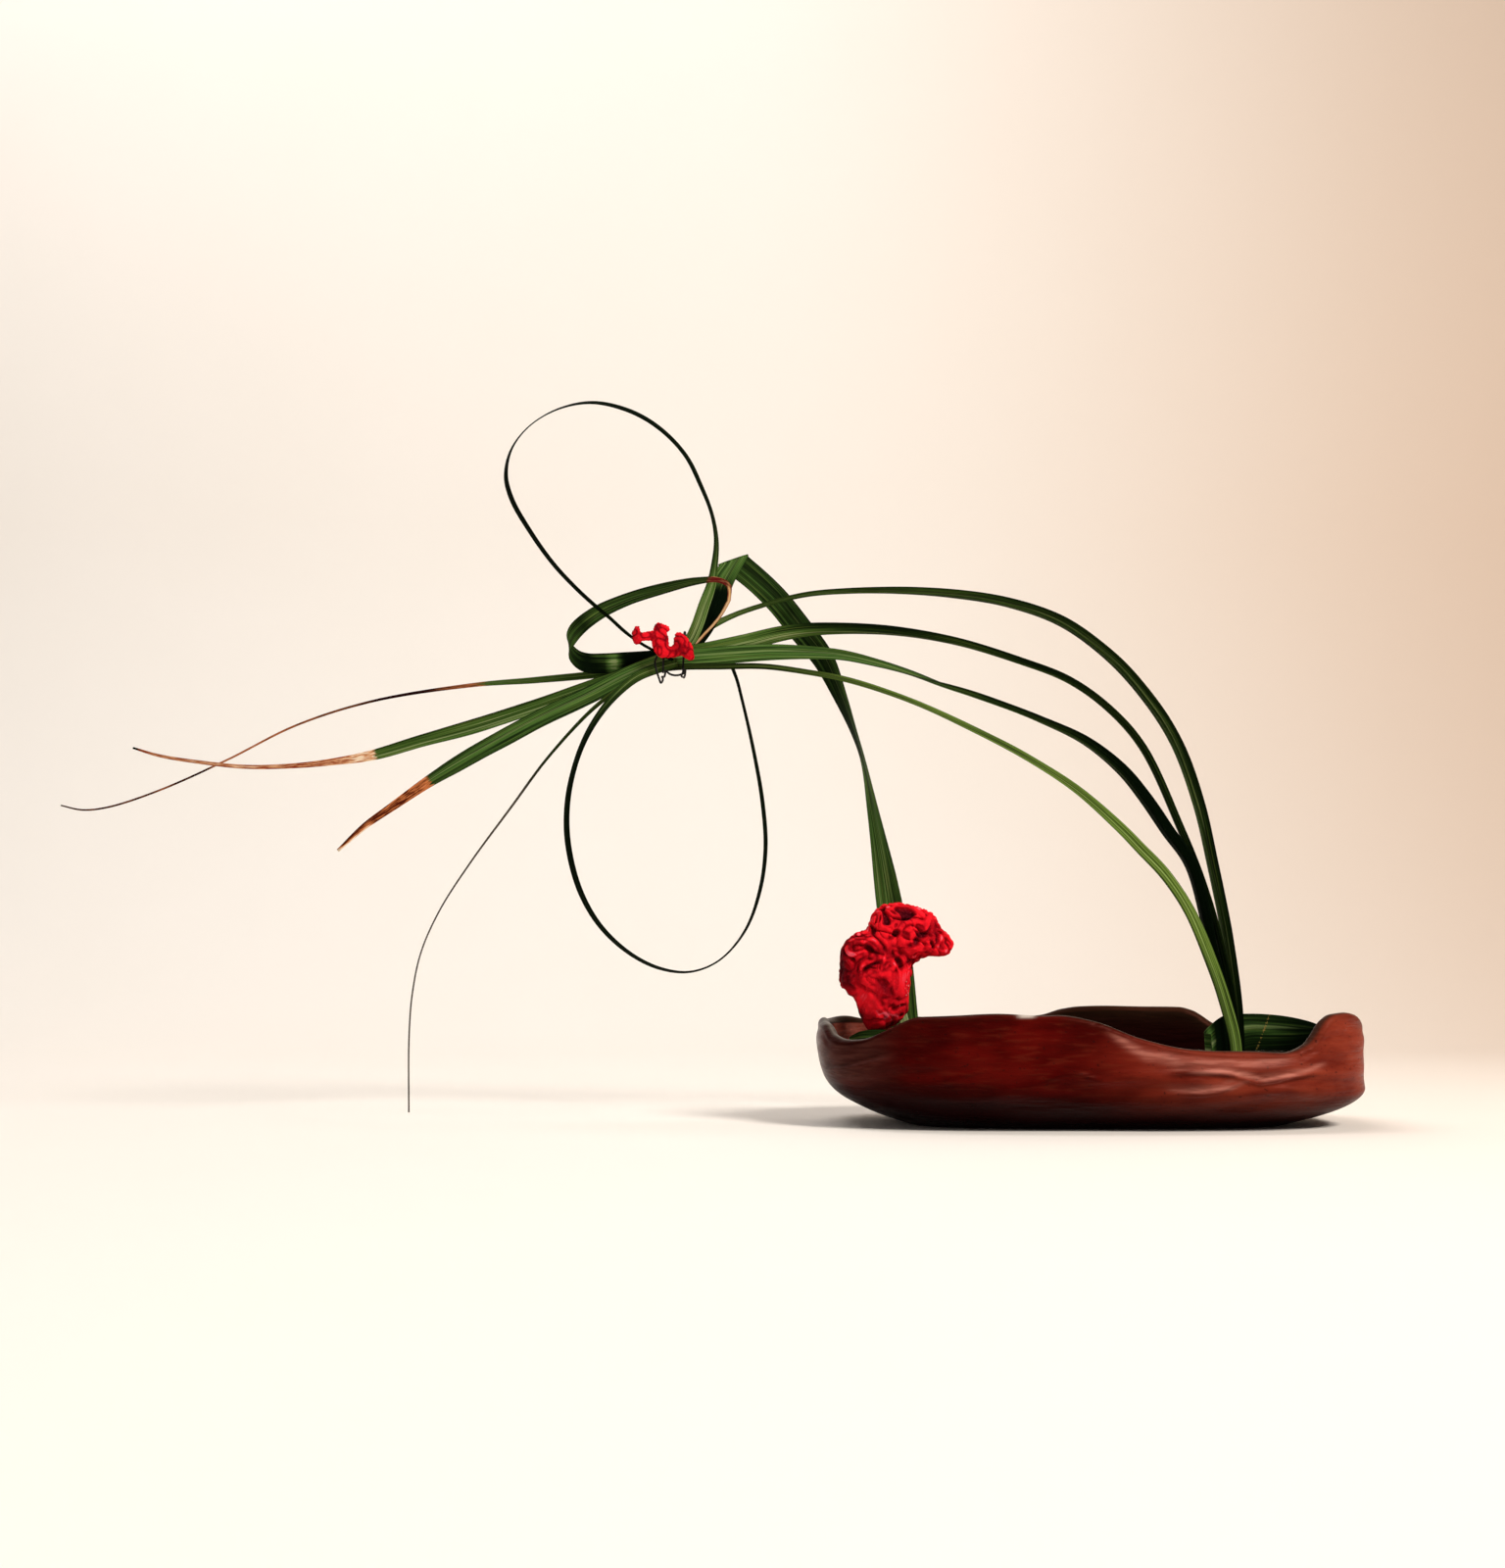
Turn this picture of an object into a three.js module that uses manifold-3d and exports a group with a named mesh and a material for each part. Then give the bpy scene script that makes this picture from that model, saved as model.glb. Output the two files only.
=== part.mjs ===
// An ikebana arrangement: a hand-built, boat-shaped glazed bowl with two pin holders standing in
// water, a fan of strap leaves that arches to the left and is tied there with wire, a folded leaf,
// two narrow leaves bent into open loops, and a cockscomb flower head.
//
// Millimetres, +Z up. The origin is the middle of the bowl's foot, on the table. +X runs to the
// right along the bowl and +Y runs away from the viewer.

import * as THREE from "three";
import { mergeVertices } from "three/addons/utils/BufferGeometryUtils.js";
import Module from "manifold-3d";

const wasm = await Module();
wasm.setup();

// Driving dimensions

const GAP = 0.3; // between pieces that touch

// Bowl: a squared oval in plan, with a lip that rises and dips.
const BOWL_LEFT = 181; // from the middle of the foot to the left end
const BOWL_RIGHT = 173; // and to the right end
const BOWL_HALF_WIDTH = 92;
const BOWL_SQUARENESS = 3; // 2 is an ellipse, more is boxier
const BOWL_SIDES = 88;
const BOWL_WALL = 8;
const BOWL_FLOOR = 13;
const FOOT_HALF_LENGTH = 122;
const FOOT_INSET_WIDTH = 36; // how far the foot stands in from the long sides
const INNER_TUCK = 0.55; // how far the inside follows the outside in towards the foot
const BELLY_LEFT = { height: 50, power: 3 }; // the wall curves in below this height
const BELLY_RIGHT = { height: 25, power: 2 };
// The lip's height along the bowl, as [x, height].
const FRONT_LIP = [[-181, 66], [-176, 66.5], [-166, 55.2], [-146, 62], [-122, 71], [-40, 73.4],
  [-14, 68], [14, 58.5], [48, 51.2], [85, 48.6], [106, 49.2], [123, 54.5], [129, 60], [136, 68.5],
  [143, 73], [152, 74], [160, 72.5], [168, 68], [173, 61]];
const BACK_LIP = [[-181, 66], [-168, 67.4], [-148, 66.5], [-60, 66], [-20, 68.5], [-3, 73],
  [10, 74.6], [36, 75], [64, 74.7], [82, 74.2], [91, 71.8], [106, 62.6], [120, 57], [144, 54],
  [160, 63], [173, 61]];
// Soft folds pressed into the wall, as where they lie along the bowl, their height, slope and depth.
const FRONT_FOLDS = [
  { from: -60, to: 90, z: 33, slope: -0.05, depth: 2.6 },
  { from: 30, to: 150, z: 24, slope: 0.04, depth: 2.8 },
  { from: 50, to: 170, z: 38, slope: -0.03, depth: 2.2 },
  { from: -178, to: -90, z: 40, slope: 0.16, depth: 2.4 },
  { from: -150, to: -30, z: 22, slope: 0.02, depth: 2 },
];
const BACK_FOLDS = [
  { from: -150, to: 0, z: 36, slope: 0.04, depth: 2.4 },
  { from: -20, to: 140, z: 26, slope: -0.03, depth: 2.6 },
  { from: 30, to: 160, z: 42, slope: 0.02, depth: 2 },
];
const FOLD_HALF_HEIGHT = 4.5;

const WATER_LEVEL = 45.5;

// Pin holders: a heavy round base set with a field of pins.
const HOLDER_RADIUS = 27;
const HOLDER_BASE = 8;
const PIN_HEIGHT = 12.7;
const PIN_RADIUS = 0.8;
const PIN_PITCH = 6.4;
const HOLDER_RIGHT = [98, 0];
const HOLDER_LEFT = [-113, -6];
const HOLDER_TOP = BOWL_FLOOR + GAP + HOLDER_BASE;
const ROOT = HOLDER_TOP + GAP; // where a leaf's cut end stands

// Leaves
const BLADE = 0.8; // thickness
const STRIP = 0.7; // thickness of the narrow loops
const STEP = 1.2; // from layer to layer where the straps are stacked in the tie
const TIE = -1.2; // depth of the layer in the middle of the stack

// Cockscomb
const HEAD_CENTRE = [-137, -30, 116];
const HEAD_HALF_DEPTH = 21;
// The head's outline from its centre, as [angle in degrees from +X, radius].
const HEAD_OUTLINE = [[0, 43], [15, 37], [34, 37], [60, 31], [78, 29], [97, 27], [111, 24], [128, 20],
  [142, 18], [164, 25], [185, 31], [202, 34], [222, 41], [237, 41.5], [248, 49], [258, 57], [266, 56],
  [275, 52], [285, 47], [294, 35], [308, 26], [323, 22], [336, 24], [346, 28], [354, 40]];
const RUFFLE = 3.2; // depth of the folds in the head
const STEM_RADIUS = 5.5;
const STEM_FOOT = [-122, -19];

const SPRIG_LOBES = [
  { centre: [-302, -18.2, 323.5], size: [4, 3.4, 5.4] },
  { centre: [-296.5, -16.2, 324], size: [5.5, 3.2, 3.2] },
  { centre: [-288, -13.8, 323], size: [6.4, 4, 10.5] },
  { centre: [-280, -13.2, 316], size: [6.5, 4, 6] },
  { centre: [-273, -13.4, 318.5], size: [7.4, 4.2, 9.6] },
];

// Tie wire
const WIRE_RADIUS = 0.5;
const WIRE_SIDES = 5;

// Routes
// A leaf's route is a list of rows [x, y, z, width, turn, keel]. turn is in degrees: at 0 the blade
// faces the viewer and at 90 it is seen edge on. keel is the depth of its V fold over its width.

const TOP_ARCH = [
  [101, 11, ROOT, 9, -50, -0.15], [102, 11, 67, 9, -50, -0.18], [97, 12, 120, 10, -55, -0.2],
  [89, 14, 170, 11, -60, -0.2], [81, 16, 212.5, 11.5, -60, -0.2], [68, 19, 254.5, 11.5, -58, -0.2],
  [50, 21, 286, 11.5, -58, -0.2], [23.5, 22, 317, 11, -58, -0.2], [-10, 23, 342, 10.5, -58, -0.2],
  [-46, 23, 355, 10, -60, -0.2], [-84, 22, 361, 9.5, -62, -0.18], [-121, 20, 363, 8.5, -66, -0.15],
  [-158, 17, 362, 7, -68, -0.12], [-188, 15, 359, 6, -66, -0.08], [-218, 13, 351, 5, -60, -0.04],
  [-241, 10, 342, 4.5, -45, 0], [-262, 4.6, 329, 5, -10, 0], [-282, TIE + 3 * STEP, 312, 6, 0, 0],
  [-303, 5, 306, 6, -5, 0], [-334, 10, 302, 5.2, -5, 0.05], [-375, 13, 298.6, 4.4, 0, 0.1],
  [-418, 14, 295.3, 3, 10, 0], [-488, 20, 285, 1.8, 10, 0], [-543, 28, 269, 1.5, 0, 0],
  [-591, 34, 246, 1.4, -10, 0], [-639, 38, 225, 1.4, -10, 0], [-675, 38, 213, 1.3, 0, 0],
  [-692, 36, 211, 1.2, 0, 0], [-706, 34, 214, 1, 0, 0],
];

const SECOND_ARCH = [
  [98, 2, ROOT, 8.5, -60, -0.15], [97, 2, 61, 8.5, -62, -0.18], [89, 4, 120, 9, -70, -0.2],
  [78.5, 5, 160, 9.5, -72, -0.2], [65, 6, 197, 10, -74, -0.2], [41.5, 8, 251.5, 10, -72, -0.2],
  [18.5, 9, 279, 10, -73, -0.2], [-8, 10, 298.5, 10, -73, -0.2], [-42, 10, 312, 10, -73, -0.2],
  [-85, 9, 325, 10, -70, -0.2], [-129, 7, 332, 10.5, -64, -0.16], [-178, 3, 332.5, 11, -50, -0.1],
  [-204, 0.6, 329, 11.5, -36, -0.06], [-230, -1.4, 322, 12, -16, -0.03], [-257, TIE - STEP, 316, 12, 0, 0],
  [-282, TIE - STEP, 311, 12, 0, 0], [-307, TIE - STEP, 301, 11, 0, 0], [-334, -2.6, 291.6, 10, 3, 0.05],
  [-373, -3, 277.6, 10, 10, 0.12], [-415, -4, 263.8, 10.5, 12, 0.15], [-449, -4, 254.2, 9, 12, 0.12],
  [-482, -4, 244.4, 7.4, 10, 0.1], [-507, -5, 240, 5, 10, 0.05], [-534, -6, 237, 3.4, 0, 0],
  [-565, -8, 236, 2.8, 0, 0], [-597, -10, 239, 2.4, 0, 0], [-623, -13, 243, 2, 0, 0],
  [-640, -15, 248, 1.4, 0, 0],
];

const THIRD_ARCH = [
  [95, -6, ROOT, 9, -50, -0.15], [93, -6, 61, 9, -52, -0.18], [83, -4, 110, 10, -58, -0.2],
  [70, -2, 170, 11, -54, -0.22], [55, 0, 194, 11, -50, -0.22], [41, 1, 216, 11, -50, -0.22],
  [26, 2, 235, 11, -55, -0.22], [2, 3, 255, 10.5, -64, -0.2], [-29, 3, 270, 9.5, -72, -0.18],
  [-72, 3, 287, 9, -84, -0.14], [-94, 2, 294.5, 9, -100, -0.1], [-116, 1, 301.5, 10, -115, -0.1],
  [-137, 0, 307.5, 11, -128, -0.12], [-164, -1.5, 313.5, 11.5, -138, -0.12],
  [-187, -2.8, 315, 12, -148, -0.1],
  [-212, TIE - 2 * STEP, 315, 12, -165, -0.05], [-244, TIE - 2 * STEP, 313, 12, -180, 0],
  [-282, TIE - 2 * STEP, 309, 12, -180, 0], [-307, -4, 300, 12, -180, 0],
  [-334, -5.6, 286, 12, -184, -0.06], [-362, -9, 272, 12, -190, -0.12],
  [-398, -14, 251.5, 11.6, -194, -0.15], [-420, -18, 238, 10.6, -194, -0.15],
  [-441, -21, 224.2, 7.8, -194, -0.12], [-463.5, -24.5, 207.5, 5.6, -190, -0.1],
  [-481, -28, 194, 4.2, -184, -0.05], [-497.5, -30, 178, 2, -180, 0],
];

const LOW_ARCH = [
  [92, -14, ROOT, 9, 18, 0.15], [93, -14, 51, 9, 16, 0.18], [87, -13, 80, 9, 15, 0.2],
  [79, -12, 106, 9, 15, 0.2], [66, -11, 139, 8.5, 15, 0.2], [51, -10, 163, 8.5, 16, 0.2],
  [35, -8, 181, 8.5, 18, 0.2], [22, -7, 195, 8.5, 24, 0.2], [-6, -6, 220.5, 8, 36, 0.18],
  [-38, -5, 242, 7.5, 42, 0.16], [-73, -4, 261, 7, 44, 0.14], [-116, -4, 281, 6.5, 48, 0.12],
  [-159, -4.6, 295.5, 6, 42, 0.08], [-190, TIE - 3 * STEP, 301.5, 4.8, 32, 0.03],
  [-217, TIE - 3 * STEP, 305, 4.2, 15, 0], [-247, TIE - 3 * STEP, 305, 4.2, 0, 0],
  [-282, TIE - 3 * STEP, 304, 4.4, 0, 0], [-297, -5.2, 300, 4, 0, 0], [-314, -8, 290, 3.4, 0, 0],
  [-333, -13, 274, 2.6, 0, 0], [-361, -25, 240, 1.9, 0, 0], [-383, -34, 207, 1.5, 0, 0],
  [-408, -45, 169, 1.2, 0, 0], [-426, -52, 138, 1, 0, 0], [-436.5, -57, 111, 1, 0, 0],
  [-441, -60, 84, 1, 0, 0], [-442, -62, 57, 1, 0, 0], [-441, -63, 11, 1, 0, 0],
];

const UPPER_LOOP = [
  [-275, TIE, 316, 7, 0, 0], [-268, TIE, 323, 8.5, 0, 0], [-263, -1.5, 333, 8.5, 0, 0],
  [-258, -1, 348, 8, 10, 0], [-253, 0, 363, 7, 25, 0], [-251, 2, 377, 6, 42, 0],
  [-250, 6, 395, 5.5, 55, 0], [-253, 10, 414, 5, 58, 0], [-261, 14, 436, 5, 52, 0],
  [-272, 18, 459, 5, 48, 0], [-290, 21, 479, 5, 42, 0], [-311, 22, 492, 5, 40, 0],
  [-337, 21, 498, 5, 46, 0], [-360, 18, 493, 5, 58, 0], [-380, 12, 479, 5, 66, 0],
  [-392, 5, 460, 5, 60, 0], [-395, -1, 440, 5, 50, 0], [-390, -8, 421, 5, 48, 0],
  [-376, -18, 396, 4.6, 50, 0], [-358, -29, 370, 4.2, 52, 0], [-341, -36, 351, 3.6, 50, 0],
  [-328, -37, 339, 3, 42, 0], [-320, -32, 333, 2.6, 35, 0], [-312, -21, 327, 2.4, 25, 0],
  [-305, -13, 322.5, 2, 10, 0], [-297, -8.6, 318, 2, 0, 0], [-288, TIE - 5 * STEP, 313.5, 2, 0, 0],
  [-279, TIE - 5 * STEP, 309, 2, 0, 0],
];

const LOWER_LOOP = [
  [-276, TIE - 4 * STEP, 307, 6, 0, 0], [-290, TIE - 4 * STEP, 303, 6.5, 0, 0],
  [-302, -7.2, 298, 6.5, 0, 0],
  [-312, -9.5, 290, 6, 10, 0], [-324, -14, 276, 6, 30, 0], [-335, -20, 257, 6, 42, 0],
  [-342.5, -25, 236, 6, 48, 0], [-347, -30, 209, 6, 46, 0], [-346, -32, 182, 6, 45, 0],
  [-338, -32, 152, 5.6, 46, 0], [-325, -27, 129, 5.2, 50, 0], [-306, -19, 111, 5, 58, 0],
  [-286, -9, 101, 5, 66, 0], [-266, 2, 99, 5, 76, 0], [-247, 12, 107, 5, 80, 0],
  [-230, 21, 127, 5, 72, 0], [-220, 26, 154, 5, 62, 0], [-216, 28, 184, 5, 56, 0],
  [-218, 28, 215, 5, 56, 0], [-224, 25, 250, 4.6, 58, 0], [-232, 20, 285, 4, 58, 0],
  [-237, 17, 303, 3.6, 50, 0], [-243, 14, 314, 3.4, 35, 0], [-254, 10, 318, 3.4, 15, 0],
  [-267, 6, 316, 3.6, 0, 0], [-281, TIE + 4 * STEP, 311, 4, 0, 0],
];

// The folded leaf rises behind the fan, is creased, comes down in front of itself to the tie and
// ends in a loop that lies nearly flat. Its last column is 1 where the blade follows the crease.
const CREASE_HALF = new THREE.Vector3(10.2, 0, 3.6);
const CREASE_RADIUS = 1.4;
const FOLDED_RISING = [
  [-117, 13, ROOT + 1.2, 15, 0, 0.1, 0], [-122.4, 14, 67, 18.5, 0, 0.1, 0],
  [-126.6, 15, 110, 19, 0, 0.1, 0],
  [-133.6, 17, 157, 18.6, -34, 0.08, 0], [-142, 20, 207, 17, -65, 0.05, 0], [-149, 22, 245, 17, -77, 0.03, 0],
  [-155, 24, 265, 17, -74, 0.03, 0], [-164, 25, 289, 17, -62, 0.03, 0], [-176, 26, 316, 17.5, -36, 0.02, 0],
  [-191, 26, 336, 17.5, -16, 0, 0], [-207, 24, 356, 17.5, -6, 0, 0], [-223, 20, 371, 17.5, 0, 0, 0.15],
  [-238, 14.2, 382, 17.5, 0, 0, 1],
];
const FOLDED_FALLING = [
  [-238, 14.2 - 2 * CREASE_RADIUS, 382, 17.5, 180, 0, 1], [-246, 8.5, 368, 17.5, 180, 0, 0.4],
  [-251, 6, 354, 17, 180, 0, 0.1], [-256, 4, 340, 15, 180, 0, 0], [-263, 2.4, 327, 13, 180, 0, 0],
  [-272, 1.4, 317, 12, 180, 0, 0], [-282, TIE + 2 * STEP, 312, 12.5, 180, 0, 0],
];
const FOLDED_LOOP = [
  [-282, TIE + 2 * STEP, 312, 12.5, 180, 0, 0], [-296, 1.2, 310, 14, 180, 0, 0],
  [-311, 2.6, 309.2, 14.2, 180, 0, 0], [-326, 3.4, 308.6, 14, 180, 0, 0],
  [-338.5, 2, 308.8, 13.6, 180, 0, 0], [-345.4, -5, 311.5, 12.4, 182, 0, 0],
  [-348.8, -13, 317.5, 11.8, 188, 0, 0], [-344, -21, 326, 11, 198, 0, 0],
  [-330, -26, 336.6, 10.2, 207, 0, 0], [-309, -29, 346, 9, 216, 0, 0], [-283, -29, 354, 8.6, 226, 0, 0],
  [-262, -25, 359.6, 6.6, 232, 0, 0], [-248, -18, 361.8, 5, 238, 0, 0], [-241, -12, 359, 4, 246, 0, 0],
  [-241, -7, 350, 3.2, 262, 0, 0],
];
const FOLDED_TIP = [
  [-241, -7, 350, 3.2, 0, 0, 0], [-247, -3.6, 340, 2.6, 0, 0, 0], [-255, -1.2, 331, 2.4, 0, 0, 0],
  [-266, TIE + STEP, 320, 2.4, 0, 0, 0], [-279, TIE + STEP, 313, 2.4, 0, 0, 0],
];

// Short leaves stood on edge round the foot of each group, as [x, lower edge, upper edge, y, lean].
// The end that stands among the pins reaches down to them.
const COLLAR_KEEL = 0.03;
const RIGHT_COLLAR = [
  [80, ROOT, 61.5, -2, 0], [77, ROOT + GAP, 62, 3, 0], [83, ROOT + 2 * GAP, 65, 12, 0],
  [96, 30, 69.5, 22, 0], [112, 41, 70.5, 27, 0], [128, 42, 70, 27, 0], [143, 44, 68, 22, 0], [155, 49.5, 64.5, 15, 0],
  [162, 54, 60, 8, 0],
];
const LEFT_COLLAR = [
  [-162, 49, 57, -30, 0], [-154, 43, 61, -36, 8], [-140, 40, 62, -40, 12], [-124, 38, 60, -38, 10],
  [-110, 30, 58, -32, 4], [-101, ROOT, 56, -24, 0],
];

// Curves

// A point of the centripetal Catmull-Rom curve through the rows, for every column alike.
function curveRow(rows, span, u) {
  const last = rows.length - 1;
  const before = rows[span].map((v, k) => 2 * v - rows[span + 1][k]);
  const after = rows[span + 1].map((v, k) => 2 * v - rows[span][k]);
  const p0 = span > 0 ? rows[span - 1] : before;
  const p1 = rows[span];
  const p2 = rows[span + 1];
  const p3 = span + 2 <= last ? rows[span + 2] : after;
  const knot = (a, b) => Math.sqrt(Math.hypot(b[0] - a[0], b[1] - a[1], b[2] - a[2]));
  const t1 = knot(p0, p1);
  const t2 = t1 + knot(p1, p2);
  const t3 = t2 + knot(p2, p3);
  const t = t1 + (t2 - t1) * u;
  const blend = (a, b, ta, tb) => a.map((v, k) => ((tb - t) * v + (t - ta) * b[k]) / (tb - ta));
  const a1 = blend(p0, p1, 0, t1);
  const a2 = blend(p1, p2, t1, t2);
  const a3 = blend(p2, p3, t2, t3);
  return blend(blend(a1, a2, 0, t2), blend(a2, a3, t1, t3), t1, t2);
}

// Stations along a route, some to each span, with the direction of the route at each.
function stationsAlong(rows, perSpan) {
  const place = (row) => new THREE.Vector3(row[0], row[1], row[2]);
  const stations = [];
  const spans = rows.length - 1;
  for (let i = 0; i <= spans * perSpan; i++) {
    const span = Math.min(Math.floor(i / perSpan), spans - 1);
    const u = i / perSpan - span;
    const ahead = place(curveRow(rows, span, Math.min(u + 0.02, 1)));
    const behind = place(curveRow(rows, span, Math.max(u - 0.02, 0)));
    const row = curveRow(rows, span, u);
    stations.push({ centre: place(row), along: ahead.sub(behind).normalize(), row });
  }
  return stations;
}

// Height of a soft curve through [position, value] pairs, level at its ends and at each peak and dip.
function softCurve(pairs, position) {
  const last = pairs.length - 1;
  const x = THREE.MathUtils.clamp(position, pairs[0][0], pairs[last][0]);
  const next = Math.max(1, pairs.findIndex((pair) => pair[0] >= x));
  const slope = (k) => (pairs[k + 1][1] - pairs[k][1]) / (pairs[k + 1][0] - pairs[k][0]);
  const tangent = (k) => {
    if (k === 0 || k === last) return 0;
    const [before, after] = [slope(k - 1), slope(k)];
    return before * after > 0 ? (2 * before * after) / (before + after) : 0;
  };
  const [x0, v0] = pairs[next - 1];
  const [x1, v1] = pairs[next];
  const span = x1 - x0;
  const t = (x - x0) / span;
  const rise = t * t * (3 - 2 * t);
  const bend = tangent(next - 1) * t * (1 - t) ** 2 - tangent(next) * t * t * (1 - t);
  return THREE.MathUtils.lerp(v0, v1, rise) + span * bend;
}

// Blades

const FACING = new THREE.Vector3(0, 1, 0);
const UPRIGHT = new THREE.Vector3(0, 0, 1);

// Half of the blade's width at a station, measured from the view or from the vertical.
function halfWidth(station, reference) {
  const { along, row } = station;
  const [, , , width, turn, , hold = 0] = row;
  const level = reference === FACING
    ? new THREE.Vector3().crossVectors(FACING, along).normalize()
    : UPRIGHT.clone().addScaledVector(along, -UPRIGHT.dot(along)).normalize();
  const half = level.applyAxisAngle(along, THREE.MathUtils.degToRad(turn)).multiplyScalar(width / 2);
  return half.lerp(CREASE_HALF, hold);
}

// One section of a blade: its outer edge, keel and inner edge, and the way its faces look.
function bladeSection(centre, half, along, keelDepth) {
  const normal = new THREE.Vector3().crossVectors(half, along).normalize();
  const keel = centre.clone().addScaledVector(normal, -keelDepth);
  return { points: [centre.clone().add(half), keel, centre.clone().sub(half)], normal };
}

function bladeSections(rows, perSpan, reference = FACING) {
  return stationsAlong(rows, perSpan).map((station) => {
    const half = halfWidth(station, reference);
    return bladeSection(station.centre, half, station.along, station.row[5] * station.row[3]);
  });
}

// A closed thin solid through the sections, split into triangles alike on both faces.
function bladeGeometry(sections, thickness) {
  const across = sections[0].points.length;
  const position = [];
  for (const { points, normal } of sections)
    for (const side of [1, -1])
      for (const point of points)
        position.push(...point.clone().addScaledVector(normal, side * thickness / 2).toArray());
  const at = (i, side, k) => (i * 2 + side) * across + k;
  const index = [];
  const quad = (a, b, c, d) => index.push(a, b, c, a, c, d);
  const last = sections.length - 1;
  for (let i = 0; i < last; i++) {
    for (let k = 0; k + 1 < across; k++) {
      quad(at(i, 0, k), at(i + 1, 0, k), at(i + 1, 0, k + 1), at(i, 0, k + 1));
      index.push(at(i, 1, k), at(i, 1, k + 1), at(i + 1, 1, k + 1));
      index.push(at(i, 1, k), at(i + 1, 1, k + 1), at(i + 1, 1, k));
    }
    quad(at(i, 1, 0), at(i + 1, 1, 0), at(i + 1, 0, 0), at(i, 0, 0));
    const end = across - 1;
    quad(at(i, 0, end), at(i + 1, 0, end), at(i + 1, 1, end), at(i, 1, end));
  }
  for (let k = 0; k + 1 < across; k++) {
    quad(at(0, 0, k), at(0, 0, k + 1), at(0, 1, k + 1), at(0, 1, k));
    quad(at(last, 1, k), at(last, 1, k + 1), at(last, 0, k + 1), at(last, 0, k));
  }
  return closedGeometry(position, index);
}

// A strip without a keel has only its two edges in each section.
function flattened(sections) {
  return sections.map(({ points, normal }) => ({ points: [points[0], points[2]], normal }));
}

function closedGeometry(position, index) {
  const geometry = new THREE.BufferGeometry();
  geometry.setAttribute("position", new THREE.Float32BufferAttribute(position, 3));
  geometry.setIndex(index);
  return geometry;
}

// Solids

function toSolid(geometry) {
  const bare = geometry.clone();
  bare.deleteAttribute("normal");
  bare.deleteAttribute("uv");
  const merged = mergeVertices(bare, 1e-4);
  const triVerts = new Uint32Array(merged.index.array);
  const vertProperties = new Float32Array(merged.attributes.position.array);
  return new wasm.Manifold(new wasm.Mesh({ numProp: 3, vertProperties, triVerts }));
}

function toGeometry(solid) {
  const mesh = solid.getMesh();
  return closedGeometry(Array.from(mesh.vertProperties), Array.from(mesh.triVerts));
}

function joined(geometries) {
  return geometries.map(toSolid).reduce((a, b) => a.add(b));
}

// Bowl

// Even stations round the bowl's outline, as [x, y] of an oval of half length 1 and half width 1.
function ovalStations(count) {
  const fine = 2000;
  const power = 2 / BOWL_SQUARENESS;
  const shape = (v) => Math.sign(v) * Math.abs(v) ** power;
  const points = [];
  for (let i = 0; i <= fine; i++) {
    const angle = (2 * Math.PI * i) / fine;
    points.push([shape(Math.cos(angle)), shape(Math.sin(angle))]);
  }
  const length = [0];
  for (let i = 1; i <= fine; i++) {
    const dx = (points[i][0] - points[i - 1][0]) * BOWL_LEFT;
    const dy = (points[i][1] - points[i - 1][1]) * BOWL_HALF_WIDTH;
    length.push(length[i - 1] + Math.hypot(dx, dy));
  }
  return Array.from({ length: count }, (_, n) => {
    const wanted = (length[fine] * n) / count;
    return points[length.findIndex((value) => value >= wanted)];
  });
}

function halfLength(u) {
  return u < 0 ? BOWL_LEFT : BOWL_RIGHT;
}

function lipHeight([u, v]) {
  return softCurve(v < 0 ? FRONT_LIP : BACK_LIP, u * halfLength(u));
}

// How far the outside of the wall stands in at a height, from 0 at the belly to 1 at the foot.
function tuck(u, z) {
  const right = (1 + u) / 2;
  const height = THREE.MathUtils.lerp(BELLY_LEFT.height, BELLY_RIGHT.height, right);
  const power = THREE.MathUtils.lerp(BELLY_LEFT.power, BELLY_RIGHT.power, right);
  return Math.max(0, 1 - z / height) ** power;
}

function foldDepth([u, v], z) {
  const x = u * halfLength(u);
  let depth = 0;
  for (const fold of v < 0 ? FRONT_FOLDS : BACK_FOLDS) {
    const middle = (fold.from + fold.to) / 2;
    const line = fold.z + fold.slope * (x - middle) + 1.5 * Math.sin(x / 13);
    const share = THREE.MathUtils.clamp((x - fold.from) / (fold.to - fold.from), 0, 1);
    const reach = Math.sin(Math.PI * share);
    const off = (z - line) / FOLD_HALF_HEIGHT;
    depth += fold.depth * reach * (Math.exp(-off * off) - 0.6 * Math.exp(-((off + 1.7) ** 2)));
  }
  return depth * Math.min(1, Math.abs(v) * 1.6);
}

function wallPoint([u, v], inset, z) {
  return [u * (halfLength(u) - inset.length), v * (BOWL_HALF_WIDTH - inset.width), z];
}

function outerInset(station, z) {
  const share = tuck(station[0], z);
  const fold = foldDepth(station, z);
  const length = (halfLength(station[0]) - FOOT_HALF_LENGTH) * share;
  return { length: length - fold, width: FOOT_INSET_WIDTH * share - fold };
}

// The inside runs parallel to the outside, without the folds.
function innerInset(station, z, extra = 0) {
  const share = INNER_TUCK * tuck(station[0], Math.max(0, z - BOWL_FLOOR + 2));
  const length = (halfLength(station[0]) - FOOT_HALF_LENGTH) * share;
  return { length: BOWL_WALL + extra + length, width: BOWL_WALL + extra + FOOT_INSET_WIDTH * share };
}

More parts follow.
